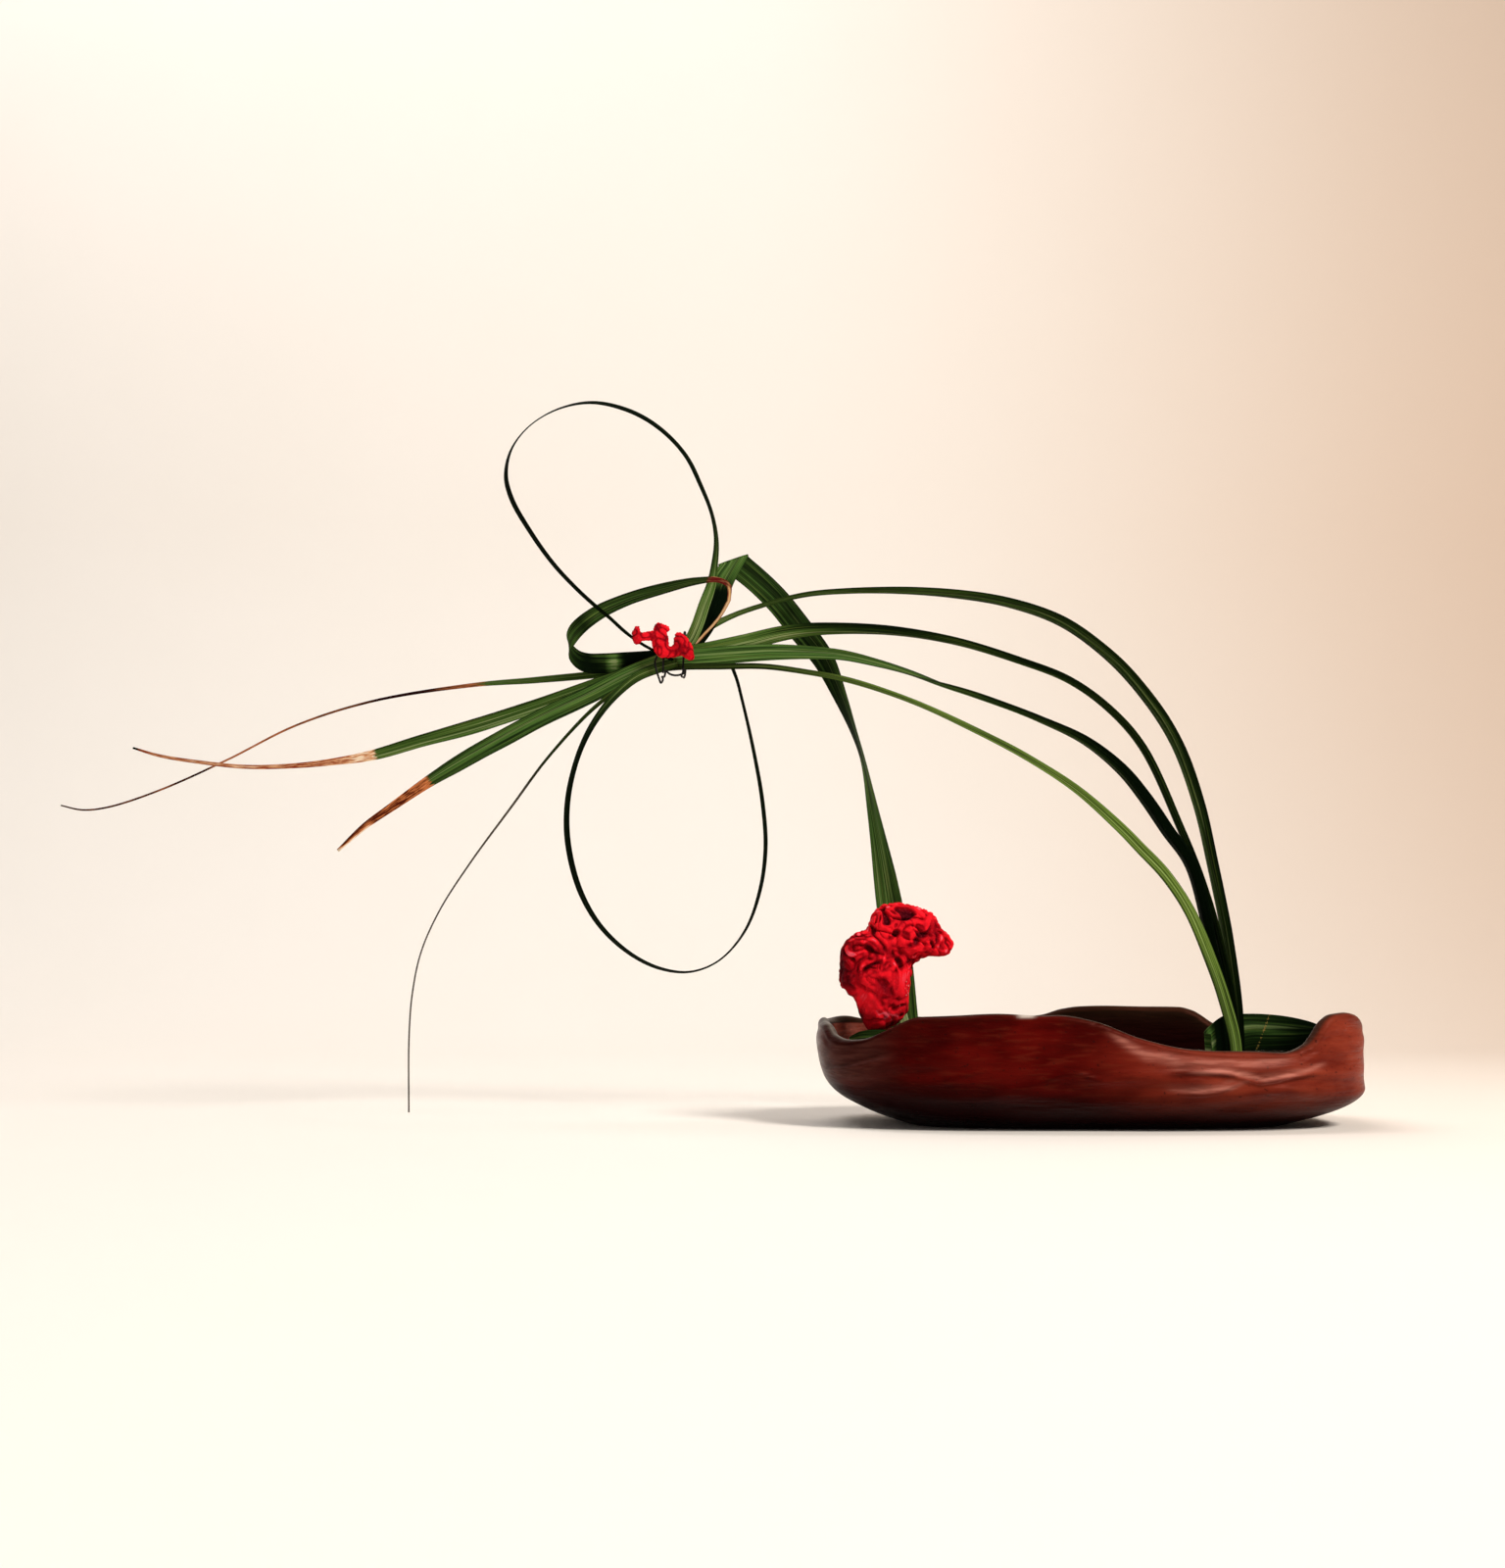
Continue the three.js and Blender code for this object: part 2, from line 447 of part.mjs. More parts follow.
// A closed skin over rings of the same number of points, with a fan at each end.
function ringedGeometry(rings, firstCentre, lastCentre) {
  const sides = rings[0].length;
  const position = [...rings.flat(2), ...firstCentre, ...lastCentre];
  const index = [];
  for (let r = 0; r + 1 < rings.length; r++)
    for (let i = 0; i < sides; i++) {
      const j = (i + 1) % sides;
      const [a, b, c, d] = [r * sides + i, r * sides + j, (r + 1) * sides + j, (r + 1) * sides + i];
      index.push(a, b, c, a, c, d);
    }
  const first = rings.length * sides;
  const top = (rings.length - 1) * sides;
  for (let i = 0; i < sides; i++) {
    const j = (i + 1) % sides;
    index.push(first, j, i);
    index.push(first + 1, top + i, top + j);
  }
  return closedGeometry(position, index);
}

function bowlGeometry() {
  const stations = ovalStations(BOWL_SIDES);
  const outerShares = [0, 0.04, 0.1, 0.17, 0.24, 0.31, 0.38, 0.45, 0.52, 0.6, 0.7, 0.82];
  const innerShares = [0.75, 0.52, 0.34, 0.2, 0.09, 0];
  const lipRadius = BOWL_WALL / 2;
  const outerRings = outerShares.map((share) =>
    stations.map((s) => {
      const z = share * (lipHeight(s) - lipRadius);
      return wallPoint(s, outerInset(s, z), z);
    }));
  const lipRings = [0, 45, 90, 135, 180].map((degrees) =>
    stations.map((s) => {
      const angle = THREE.MathUtils.degToRad(degrees);
      const inward = lipRadius * (1 - Math.cos(angle));
      const z = lipHeight(s) - lipRadius + lipRadius * Math.sin(angle);
      return wallPoint(s, { length: inward, width: inward }, z);
    }));
  const innerRings = innerShares.map((share) =>
    stations.map((s) => {
      const z = BOWL_FLOOR + share * (lipHeight(s) - lipRadius - BOWL_FLOOR);
      return wallPoint(s, innerInset(s, z), z);
    }));
  return ringedGeometry([...outerRings, ...lipRings, ...innerRings], [0, 0, 0], [0, 0, BOWL_FLOOR]);
}

// Water

function waterGeometry(standing) {
  const stations = ovalStations(BOWL_SIDES).filter((_, i) => i % 2 === 0);
  const heights = [BOWL_FLOOR + GAP, 17, 22, 28, 36, WATER_LEVEL];
  const rings = heights.map((z) => stations.map((s) => wallPoint(s, innerInset(s, z - GAP, 3 * GAP), z)));
  const body = toSolid(ringedGeometry(rings, [0, 0, heights[0]], [0, 0, WATER_LEVEL]));
  const cut = standing.map(toSolid).reduce((water, piece) => water.subtract(piece), body);
  const largest = cut.decompose().reduce((a, b) => (a.volume() > b.volume() ? a : b));
  return toGeometry(largest);
}

function pocketGeometry([x, y]) {
  const low = BOWL_FLOOR - 1;
  const high = HOLDER_TOP + PIN_HEIGHT + GAP;
  return roundBar(HOLDER_RADIUS + GAP, low, high, 32).translate(x, y, 0);
}

// An upright round bar from one height to another.
function roundBar(radius, low, high, sides) {
  return new THREE.CylinderGeometry(radius, radius, high - low, sides)
    .rotateX(Math.PI / 2)
    .translate(0, 0, (low + high) / 2);
}

// Pin holders

// The distance from a point to the nearest foot that stands among the pins.
function distanceToFeet(x, y, feet) {
  const point = new THREE.Vector3(x, y, 0);
  const nearest = new THREE.Vector3();
  let distance = Infinity;
  for (const sections of feet)
    for (const { points } of sections)
      for (let k = 0; k + 1 < points.length; k++) {
        const wing = new THREE.Line3(points[k].clone().setZ(0), points[k + 1].clone().setZ(0));
        wing.closestPointToPoint(point, true, nearest);
        distance = Math.min(distance, nearest.distanceTo(point));
      }
  return distance;
}

function holderGeometry([cx, cy], feet, stem) {
  const low = BOWL_FLOOR + GAP;
  const pieces = [roundBar(HOLDER_RADIUS, low, HOLDER_TOP, 32).translate(cx, cy, 0)];
  const rows = Math.floor(HOLDER_RADIUS / (PIN_PITCH * 0.87));
  for (let r = -rows; r <= rows; r++)
    for (let c = -rows - 1; c <= rows + 1; c++) {
      const dx = (c + (r % 2 ? 0.5 : 0)) * PIN_PITCH;
      const dy = r * PIN_PITCH * 0.87;
      if (Math.hypot(dx, dy) > HOLDER_RADIUS - 2.5) continue;
      const [x, y] = [cx + dx, cy + dy];
      if (distanceToFeet(x, y, feet) < PIN_RADIUS + BLADE / 2 + GAP) continue;
      if (stem && Math.hypot(x - stem[0], y - stem[1]) < STEM_RADIUS + PIN_RADIUS + GAP) continue;
      const pin = new THREE.ConeGeometry(PIN_RADIUS, PIN_HEIGHT + 1, 4).rotateX(Math.PI / 2);
      pieces.push(pin.translate(x, y, HOLDER_TOP + (PIN_HEIGHT - 1) / 2));
    }
  return toGeometry(joined(pieces));
}

// Cockscomb

// Brain-like ruffles: folds that wander over the surface, 1 on a crest and 0 in a crevice.
function ruffleAt(p, size) {
  const [x, y, z] = [p.x / size, p.y / size, p.z / size];
  const bend = 1.3 * Math.sin(0.9 * y + 0.7 * z) + 1.1 * Math.sin(1.1 * x - 0.6 * z + 1);
  const wander = 1.2 * Math.sin(1.2 * x + 0.8 * y) + 0.9 * Math.sin(1.4 * z - 0.5 * y + 2);
  return Math.abs(Math.sin(1.5 * x + bend) * Math.cos(1.4 * z + wander)) ** 0.6;
}

function headOutline(angle) {
  const degrees = (THREE.MathUtils.radToDeg(angle) + 360) % 360;
  return softCurve([...HEAD_OUTLINE, [360, HEAD_OUTLINE[0][1]]], degrees);
}

function headGeometry(swell = 0) {
  const ball = new THREE.IcosahedronGeometry(1, 9);
  const position = ball.getAttribute("position");
  const p = new THREE.Vector3();
  for (let i = 0; i < position.count; i++) {
    p.fromBufferAttribute(position, i).normalize();
    const flat = Math.hypot(p.x, p.z);
    const reach = headOutline(Math.atan2(p.z, p.x));
    const out = (reach * flat ** 0.75) / (flat || 1);
    const deep = Math.sign(p.y) * Math.abs(p.y) ** 0.9 * HEAD_HALF_DEPTH;
    const q = new THREE.Vector3(p.x * out, deep, p.z * out);
    const sink = RUFFLE * (1 - ruffleAt(q, 6.5));
    q.addScaledVector(q.clone().normalize(), swell - sink);
    position.setXYZ(i, q.x, q.y, q.z);
  }
  return ball.translate(...HEAD_CENTRE);
}

// The stem stands upright among the pins and then leans to the head, as thick as its radius.
function stemGeometry(radius) {
  const [x, y] = HEAD_CENTRE;
  const foot = new THREE.Vector3(...STEM_FOOT, ROOT);
  const top = new THREE.Vector3(x + 4, y, HEAD_CENTRE[2] - 42);
  const bend = new THREE.Vector3(...STEM_FOOT, 50);
  const section = new THREE.Shape();
  section.absarc(0, 0, radius, 0, 2 * Math.PI);
  const extrudePath = new THREE.QuadraticBezierCurve3(foot, bend, top);
  const options = { extrudePath, steps: 6, curveSegments: 5, bevelEnabled: false };
  const bar = new THREE.ExtrudeGeometry(section, options);
  return toGeometry(toSolid(bar).subtract(toSolid(headGeometry(GAP))));
}

// A ruffled lobe of the flower, of half size along each axis.
function lobeGeometry({ centre, size }) {
  const ball = new THREE.IcosahedronGeometry(1, 2);
  const position = ball.getAttribute("position");
  const half = new THREE.Vector3(...size);
  const p = new THREE.Vector3();
  for (let i = 0; i < position.count; i++) {
    p.fromBufferAttribute(position, i).multiply(half);
    p.multiplyScalar(0.86 + 0.14 * ruffleAt(p, 2.2));
    position.setXYZ(i, p.x, p.y, p.z);
  }
  return ball.translate(...centre);
}

// A scrap of the same flower tucked in front of the tie.
function sprigGeometry() {
  return toGeometry(joined(SPRIG_LOBES.map(lobeGeometry)));
}

// Wire

function wireGeometry(points) {
  const places = points.map((p) => new THREE.Vector3(...p));
  const route = new THREE.CatmullRomCurve3(places, false, "centripetal");
  const section = new THREE.Shape();
  for (let i = 0; i < WIRE_SIDES; i++) {
    const angle = (2 * Math.PI * i) / WIRE_SIDES;
    const [x, y] = [WIRE_RADIUS * Math.cos(angle), WIRE_RADIUS * Math.sin(angle)];
    if (i === 0) section.moveTo(x, y);
    else section.lineTo(x, y);
  }
  const steps = Math.round(route.getLength() / (4 * WIRE_RADIUS));
  const options = { extrudePath: route, steps, curveSegments: 1, bevelEnabled: false };
  return new THREE.ExtrudeGeometry(section, options);
}

// A turn of wire round the stack of straps, then a loop that hangs from it.
function tieWire(x, top, back, hanging) {
  const front = TIE - 6 * STEP - GAP;
  const middle = (front + back) / 2;
  const turn = [
    [x, front + 1, 300], [x, front, 304], [x + 0.3, front, 311], [x + 0.6, front, top - 5],
    [x + 0.8, front + 2, top - 1], [x + 1, middle, top], [x + 1, back - 2, top - 1],
    [x + 1, back, top - 5], [x + 1, back, 311], [x + 1, back, 304], [x + 0.4, back - 2, 299.5],
    [x - 0.4, middle, 298.5],
  ];
  return wireGeometry([...turn, ...hanging]);
}

// Pieces

const MATERIALS = {
  glaze: new THREE.MeshStandardMaterial({ color: 0x4a140f, roughness: 0.32, metalness: 0 }),
  water: new THREE.MeshStandardMaterial({ color: 0x9fb0a6, roughness: 0.05, metalness: 0 }),
  brass: new THREE.MeshStandardMaterial({ color: 0x8f7a3e, roughness: 0.4, metalness: 0.9 }),
  darkLeaf: new THREE.MeshStandardMaterial({ color: 0x1f3319, roughness: 0.45, metalness: 0 }),
  leaf: new THREE.MeshStandardMaterial({ color: 0x35541f, roughness: 0.45, metalness: 0 }),
  brightLeaf: new THREE.MeshStandardMaterial({ color: 0x5b7a2e, roughness: 0.45, metalness: 0 }),
  crest: new THREE.MeshStandardMaterial({ color: 0xb8101c, roughness: 0.8, metalness: 0 }),
  stem: new THREE.MeshStandardMaterial({ color: 0x6d7d3c, roughness: 0.6, metalness: 0 }),
  wire: new THREE.MeshStandardMaterial({ color: 0x101010, roughness: 0.4, metalness: 0.3 }),
};

function addPiece(group, name, geometry, material) {
  const mesh = new THREE.Mesh(geometry, material.clone());
  mesh.name = name;
  group.add(mesh);
}

function archSections(rows) {
  return bladeSections(rows, 2);
}

function foldedSections() {
  const crease = new THREE.Vector3(-238, 14.2 - CREASE_RADIUS, 382);
  const over = new THREE.Vector3().crossVectors(CREASE_HALF, FACING).normalize();
  if (over.z < 0) over.negate();
  const turned = [45, 90, 135].map((degrees) => {
    const angle = THREE.MathUtils.degToRad(degrees);
    const centre = crease.clone().addScaledVector(over, CREASE_RADIUS * Math.sin(angle));
    centre.y += CREASE_RADIUS * Math.cos(angle);
    const along = over.clone().multiplyScalar(Math.cos(angle)).addScaledVector(FACING, -Math.sin(angle));
    return bladeSection(centre, CREASE_HALF, along, 0);
  });
  return [
    ...bladeSections(FOLDED_RISING, 2),
    ...turned,
    ...bladeSections(FOLDED_FALLING, 2),
    ...bladeSections(FOLDED_LOOP, 2, UPRIGHT).slice(1),
    ...bladeSections(FOLDED_TIP, 2).slice(1),
  ];
}

// A leaf stood on edge: its width runs up and its faces look outwards.
function collarSections(rows) {
  const route = rows.map(([x, low, high, y, lean]) => [x, y, (low + high) / 2, high - low, lean]);
  return stationsAlong(route, 2).map(({ centre, along, row: [, , , width, lean] }) => {
    const level = along.clone().setZ(0).normalize();
    const up = UPRIGHT.clone().applyAxisAngle(level, THREE.MathUtils.degToRad(lean));
    return bladeSection(centre, up.multiplyScalar(width / 2), level, COLLAR_KEEL * width);
  });
}

// What of a leaf stood on edge is among the pins, as two lines along it: its keel and lower edge.
function collarFoot(sections) {
  const line = (k) => ({ points: sections.map(({ points }) => points[k]) });
  return [line(1), line(2)];
}

// A blade's foot, larger by the gap all round, to cut its hole in the water.
function footHole(sections) {
  const wider = sections.map(({ points, normal }) => {
    const middle = points[0].clone().add(points[points.length - 1]).multiplyScalar(0.5);
    const factor = 1 + (2 * GAP) / points[0].distanceTo(points[points.length - 1]);
    return { points: points.map((p) => p.clone().sub(middle).multiplyScalar(factor).add(middle)), normal };
  });
  const beyond = (end, next) => {
    const step = end.points[1].clone().sub(next.points[1]).setLength(GAP);
    return { points: end.points.map((p) => p.clone().add(step)), normal: end.normal };
  };
  const first = beyond(wider[0], wider[1]);
  const last = beyond(wider[wider.length - 1], wider[wider.length - 2]);
  return bladeGeometry([first, ...wider, last], BLADE + 2 * GAP);
}

function build() {
  const group = new THREE.Group();
  const arches = [TOP_ARCH, SECOND_ARCH, THIRD_ARCH, LOW_ARCH].map(archSections);
  const folded = foldedSections();
  const rightCollar = collarSections(RIGHT_COLLAR);
  const leftCollar = collarSections(LEFT_COLLAR);
  const atRoot = (sections) => sections.slice(0, 3);

  addPiece(group, "bowl", bowlGeometry(), MATERIALS.glaze);
  const rightFeet = [...arches.map(atRoot), collarFoot(rightCollar)];
  addPiece(group, "pin_holder_right", holderGeometry(HOLDER_RIGHT, rightFeet), MATERIALS.brass);
  const leftFeet = [atRoot(folded), collarFoot(leftCollar)];
  addPiece(group, "pin_holder_left", holderGeometry(HOLDER_LEFT, leftFeet, STEM_FOOT), MATERIALS.brass);

  const names = ["leaf_arch_top", "leaf_arch_second", "leaf_arch_third", "leaf_arch_low"];
  const tones = [MATERIALS.darkLeaf, MATERIALS.darkLeaf, MATERIALS.leaf, MATERIALS.brightLeaf];
  names.forEach((name, i) => addPiece(group, name, bladeGeometry(arches[i], BLADE), tones[i]));
  addPiece(group, "leaf_folded", bladeGeometry(folded, BLADE), MATERIALS.leaf);
  const upper = flattened(bladeSections(UPPER_LOOP, 2));
  const lower = flattened(bladeSections(LOWER_LOOP, 2));
  addPiece(group, "leaf_loop_upper", bladeGeometry(upper, STRIP), MATERIALS.darkLeaf);
  addPiece(group, "leaf_loop_lower", bladeGeometry(lower, STRIP), MATERIALS.darkLeaf);
  addPiece(group, "leaf_collar_right", bladeGeometry(rightCollar, BLADE), MATERIALS.leaf);
  addPiece(group, "leaf_collar_left", bladeGeometry(leftCollar, BLADE), MATERIALS.leaf);

  addPiece(group, "cockscomb_head", headGeometry(), MATERIALS.crest);
  addPiece(group, "cockscomb_stem", stemGeometry(STEM_RADIUS), MATERIALS.stem);
  addPiece(group, "cockscomb_sprig", sprigGeometry(), MATERIALS.crest);

  const leftHanging = [[-286.4, -6, 297.6], [-285.8, -9.7, 296.8], [-285.6, -10.3, 294.6], [-286.8, -10.4, 292.8],
    [-288.2, -10.3, 296.1], [-289.9, -10.1, 301.5], [-290.9, -10, 306.8], [-289.6, -10, 311.3]];
  const rightHanging = [[-273, -7, 298.4], [-271, -9.8, 302], [-271.4, -10.3, 299.6], [-276, -10.4, 298],
    [-280.6, -10.2, 298.8], [-284, -10.2, 301.6]];
  addPiece(group, "tie_wire_left", tieWire(-285.5, 323.5, TIE + 5 * STEP, leftHanging), MATERIALS.wire);
  addPiece(group, "tie_wire_right", tieWire(-272, 329, TIE + 7 * STEP, rightHanging), MATERIALS.wire);

  const standing = [
    pocketGeometry(HOLDER_RIGHT),
    pocketGeometry(HOLDER_LEFT),
    ...[...arches, folded].map((sections) => footHole(sections.slice(0, 4))),
    footHole(rightCollar),
    footHole(leftCollar),
    stemGeometry(STEM_RADIUS + 2 * GAP),
  ];
  addPiece(group, "water", waterGeometry(standing), MATERIALS.water);
  return group;
}

export default build();
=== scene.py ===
# The looks of an ikebana arrangement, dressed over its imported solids: strap leaves with veins and
# dry tips, a ruffled cockscomb, a glazed hand-built bowl, water, pin holders and a wire tie.
#
# Routes and sizes are in millimetres, as in the part's source, and meshes are made in metres.

import math

import bpy
import numpy as np
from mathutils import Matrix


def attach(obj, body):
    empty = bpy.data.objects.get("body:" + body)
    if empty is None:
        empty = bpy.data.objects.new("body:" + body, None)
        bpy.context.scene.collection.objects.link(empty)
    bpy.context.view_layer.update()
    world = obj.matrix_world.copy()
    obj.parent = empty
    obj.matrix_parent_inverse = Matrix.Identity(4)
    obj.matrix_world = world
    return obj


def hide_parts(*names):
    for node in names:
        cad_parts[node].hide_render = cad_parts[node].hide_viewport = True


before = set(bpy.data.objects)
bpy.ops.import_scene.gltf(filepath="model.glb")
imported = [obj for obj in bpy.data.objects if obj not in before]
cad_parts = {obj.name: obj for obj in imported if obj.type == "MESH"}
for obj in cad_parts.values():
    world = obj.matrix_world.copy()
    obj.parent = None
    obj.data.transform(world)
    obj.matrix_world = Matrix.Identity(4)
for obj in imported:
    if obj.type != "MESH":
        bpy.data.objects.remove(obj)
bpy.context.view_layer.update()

MM = 0.001

# Room left between pieces that rest on each other.
GAP = 0.3

# Camera, fitted to the photograph: its place in metres, its pitch in degrees above the horizon.
CAMERA_PLACE = (-0.225, -1.187, 0.0978)
CAMERA_PITCH = 6.13
CAMERA_LENS = 40.5
CAMERA_SENSOR = 36

# Bowl
BOWL_LEFT = 181
BOWL_RIGHT = 173
BOWL_HALF_WIDTH = 92
BOWL_SQUARENESS = 3
BOWL_WALL = 8
BOWL_FLOOR = 13
FOOT_HALF_LENGTH = 122
FOOT_INSET_WIDTH = 36
INNER_TUCK = 0.55
# The wall's belly at either end, as its height and how suddenly the wall tucks in below it.
BELLY_LEFT = (50, 3)
BELLY_RIGHT = (25, 2)
# The lip's height along the front and the back, as [x, height].
FRONT_LIP = [
    [-181, 67.5], [-179.7, 66], [-175.5, 58], [-169, 55.5], [-158, 57], [-146, 61.5], [-122, 71],
    [-40, 73.4], [-14, 68], [14, 58.5], [48, 51.2], [85, 48.6], [106, 49.2], [123, 54.5], [129, 60],
    [136, 68.5], [143, 73], [152, 74], [160, 72.5], [168, 68], [173, 61],
]
BACK_LIP = [
    [-181, 67.5], [-168, 67.4], [-148, 66.5], [-60, 66], [-20, 68.5], [-3, 73], [10, 74.6], [36, 75],
    [64, 74.7], [82, 74.2], [91, 71.8], [106, 62.6], [120, 57], [144, 54], [160, 63], [173, 61],
]
# Soft folds in the wall, as where they begin and end along the bowl, height, slope and depth.
FRONT_FOLDS = [
    (-60, 90, 33, -0.05, 2.6), (30, 150, 24, 0.04, 2.8), (50, 170, 38, -0.03, 2.2),
    (-178, -90, 40, 0.16, 2.4), (-150, -30, 22, 0.02, 2),
]
BACK_FOLDS = [(-150, 0, 36, 0.04, 2.4), (-20, 140, 26, -0.03, 2.6), (30, 160, 42, 0.02, 2)]
FOLD_HALF_HEIGHT = 4.5
# Sharper creases in the front, as [x, height] along each, with its depth.
CREASES = [
    ([(-180, 36), (-163, 38.5), (-145, 44)], 1.6),
    ([(-110, 30), (-94, 35), (-81, 37.5)], 1.0),
    ([(-65, 27), (-49, 30.5), (-34, 36), (-25, 36), (-10, 31.5)], 1.0),
    ([(35, 36), (52, 37), (69, 35), (86, 29.5), (102, 32), (120, 35)], 1.5),
    ([(35, 24), (52, 23.5), (63, 25), (74, 30)], 1.2),
]
# Burst bubbles in the glaze near the right end, as [x, height, radius].
PITS = [
    (115, 55.5, 0.7), (120, 57, 1.1), (124, 58, 0.8), (126, 61.5, 0.6), (130, 62.5, 1.0), (140, 62, 0.9),
    (147, 63.5, 1.3), (113, 53, 0.6), (134, 50, 0.7), (152, 56, 0.8), (-46, 66, 0.7), (-72, 68, 0.6),
]
# Where the lip is chipped, as x, height and half width.
CHIP = (-56, 70.6, 5)
# How far a drawn line fades outside and inside its ends.
CREASE_FADE = (12, 8)
LIT_FADE = (4, 12)
# Lit bands of the glaze, as [x, height] along each, with its half width and strength.
LIT_BANDS = [
    ([(-6, 62), (15, 48.5), (40, 43.5), (66, 42.5), (97, 44.5), (112, 47)], 3.4, 0.5),
    ([(43, 38), (63, 38.2), (78, 36), (91, 32.5), (100, 34), (116, 37.5), (131, 41.5)], 1.7, 0.8),
    ([(30, 26.5), (53, 26), (69, 28), (80, 32)], 1.5, 0.7),
    ([(-178, 40), (-160, 41.5), (-142, 47)], 1.6, 0.25),
]
BOWL_SIDES = 460
WALL_RINGS = 74
LIP_RINGS = 13
INSIDE_RINGS = 26

# Water. Its rings are [height, how far they stand in from the wall].
WATER_LEVEL = 46.3
WATER_SIDES = 240
WATER_RINGS = [
    (BOWL_FLOOR + GAP, 0.4), (17, -0.2), (22, -0.2), (28, -0.2), (36, -0.2), (WATER_LEVEL - 0.4, -0.2),
    (WATER_LEVEL, 0.1), (WATER_LEVEL, 3),
]

# Pin holders
HOLDER_RADIUS = 27
HOLDER_BASE = 8
HOLDER_TOP = BOWL_FLOOR + GAP + HOLDER_BASE
PIN_HEIGHT = 12.7
PIN_RADIUS = 0.55
PIN_PITCH = 3.4
ROW_PITCH = 0.87 * PIN_PITCH
PIN_MARGIN = 2.2
HOLDER_EDGE = 1.2
HOLDER_SIDES = 72
PIN_SIDES = 7
HOLDERS = {"pin_holder_right": (98, 0), "pin_holder_left": (-113, -6)}
ROOT = HOLDER_TOP + GAP

# Leaves. TIE is where the stack of blades in the wire tie has its middle, and STEP its spacing.
BLADE = 0.8
STRIP = 0.7
STEP = 1.2
TIE = -1.2
COLUMNS = 27
STATION_STEP = 3.0
KEEL_SOFTNESS = 0.09
THIN_EDGE = 0.7
SCAR_HALF_WIDTH = 0.05

# Cockscomb
HEAD_CENTRE = (-137, -30, 116)
HEAD_HALF_DEPTH = 21
HEAD_DIVISIONS = 7
# Outline of the crest from the front, as [degrees, distance from its centre].
HEAD_OUTLINE = [
    [0, 44], [9, 41.5], [20, 38], [34, 37], [60, 31], [78, 29], [97, 27], [111, 24], [128, 20], [142, 18],
    [164, 25], [185, 31], [202, 34], [222, 41], [237, 41.5], [248, 49], [258, 57], [266, 56], [275, 52],
    [285, 47], [294, 35], [308, 26], [323, 22], [336, 24], [345, 28], [349.5, 39], [354, 43],
]
STEM_RADIUS = 5.5
STEM_FOOT = (-122, -19)
STEM_RINGS = 60
STEM_SIDES = 48
STEM_RIBS = 12
BRACTS = 46
BRACT_RADII = (0.3, 0.45, 0.5, 0.4, 0.25, 0.06)
SPRIG_VOXEL = 0.45
# The scrap of flower in the tie, as rounded strokes [x, y, z, radius] that run into each other.
SPRIG_STROKES = [
    [(-302.6, -18, 328.4, 2), (-303.4, -18.4, 325, 2.8), (-302.6, -18, 320.6, 3)],
    [(-302, -17.6, 323, 3.4), (-297, -16.6, 323.6, 3), (-291, -15.4, 324, 3.8)],
    [(-288.6, -14, 330, 3.2), (-287.4, -13.8, 325, 5), (-287, -13.6, 318, 5.6),
        (-285.6, -13.4, 313.6, 4.2)],
    [(-288, -14, 330.6, 2.8), (-283.4, -14, 329, 2.4)],
    [(-286, -13.4, 314.4, 4.4), (-279.6, -13.2, 313.4, 3.8), (-273, -13.6, 316, 5)],
    [(-274.6, -13.8, 323.6, 3.2), (-273, -13.8, 319.6, 5.2), (-269.4, -13.6, 314.4, 4.6),
        (-267, -13.4, 310.4, 2.8)],
]

# Tie wire: where each turn goes round the stack, and the points of its hanging loop.
WIRE_RADIUS = 0.72
WIRE_SIDES = 10
WIRES = {
    "tie_wire_left": dict(x=-285.5, top=323.5, back=TIE + 5 * STEP, hanging=[
        (-286.4, -6, 297.6), (-285.8, -9.7, 296.8), (-285.6, -10.3, 294.6), (-286.8, -10.4, 292.8),
        (-288.2, -10.3, 296.1), (-289.9, -10.1, 301.5), (-290.9, -10, 306.8), (-289.6, -10, 311.3)]),
    "tie_wire_right": dict(x=-272, top=329, back=TIE + 7 * STEP, hanging=[
        (-273, -7, 298.4), (-271, -9.8, 302), (-271.4, -10.3, 299.6), (-276, -10.4, 298),
        (-280.6, -10.2, 298.8), (-284, -10.2, 301.6)]),
}

# Routes of the leaves, as rows [x, y, z, width, turn, keel], where what is left out at the end is 0.
# turn is in degrees: at 0 the blade faces the camera and at 90 it is seen edge on. keel is the depth
# of its V fold in hundredths of its width.
TOP_ARCH = [
    [101, 11, ROOT, 9, -50, -15], [102, 11, 67, 9, -50, -18], [97, 12, 120, 10, -55, -20],
    [89, 14, 170, 11, -60, -20], [81, 16, 212.5, 11.5, -60, -20], [68, 19, 254.5, 11.5, -58, -20],
    [50, 21, 286, 11.5, -58, -20], [23.5, 22, 317, 11, -58, -20], [-10, 23, 342, 10.5, -58, -20],
    [-46, 23, 355, 10, -60, -20], [-84, 22, 361, 9.5, -62, -18], [-121, 20, 363, 8.5, -66, -15],
    [-158, 17, 362, 7, -68, -12], [-188, 15, 359, 6, -66, -8], [-218, 13, 351, 5, -60, -4],
    [-241, 10, 342, 4.5, -45], [-262, 4.6, 329, 5, -10], [-282, TIE + 3 * STEP, 312, 6],
    [-303, 5, 306, 6, -5], [-334, 10, 302, 5.2, -5, 5], [-375, 13, 298.6, 4.4, 0, 10],
    [-418, 14, 295.3, 3, 10], [-488, 20, 285, 1.8, 10], [-543, 28, 269, 1.5], [-591, 34, 246, 1.4, -10],
    [-639, 38, 225, 1.4, -10], [-675, 38, 213, 1.3], [-692, 36, 211, 1.2], [-706, 34, 214, 1],
]
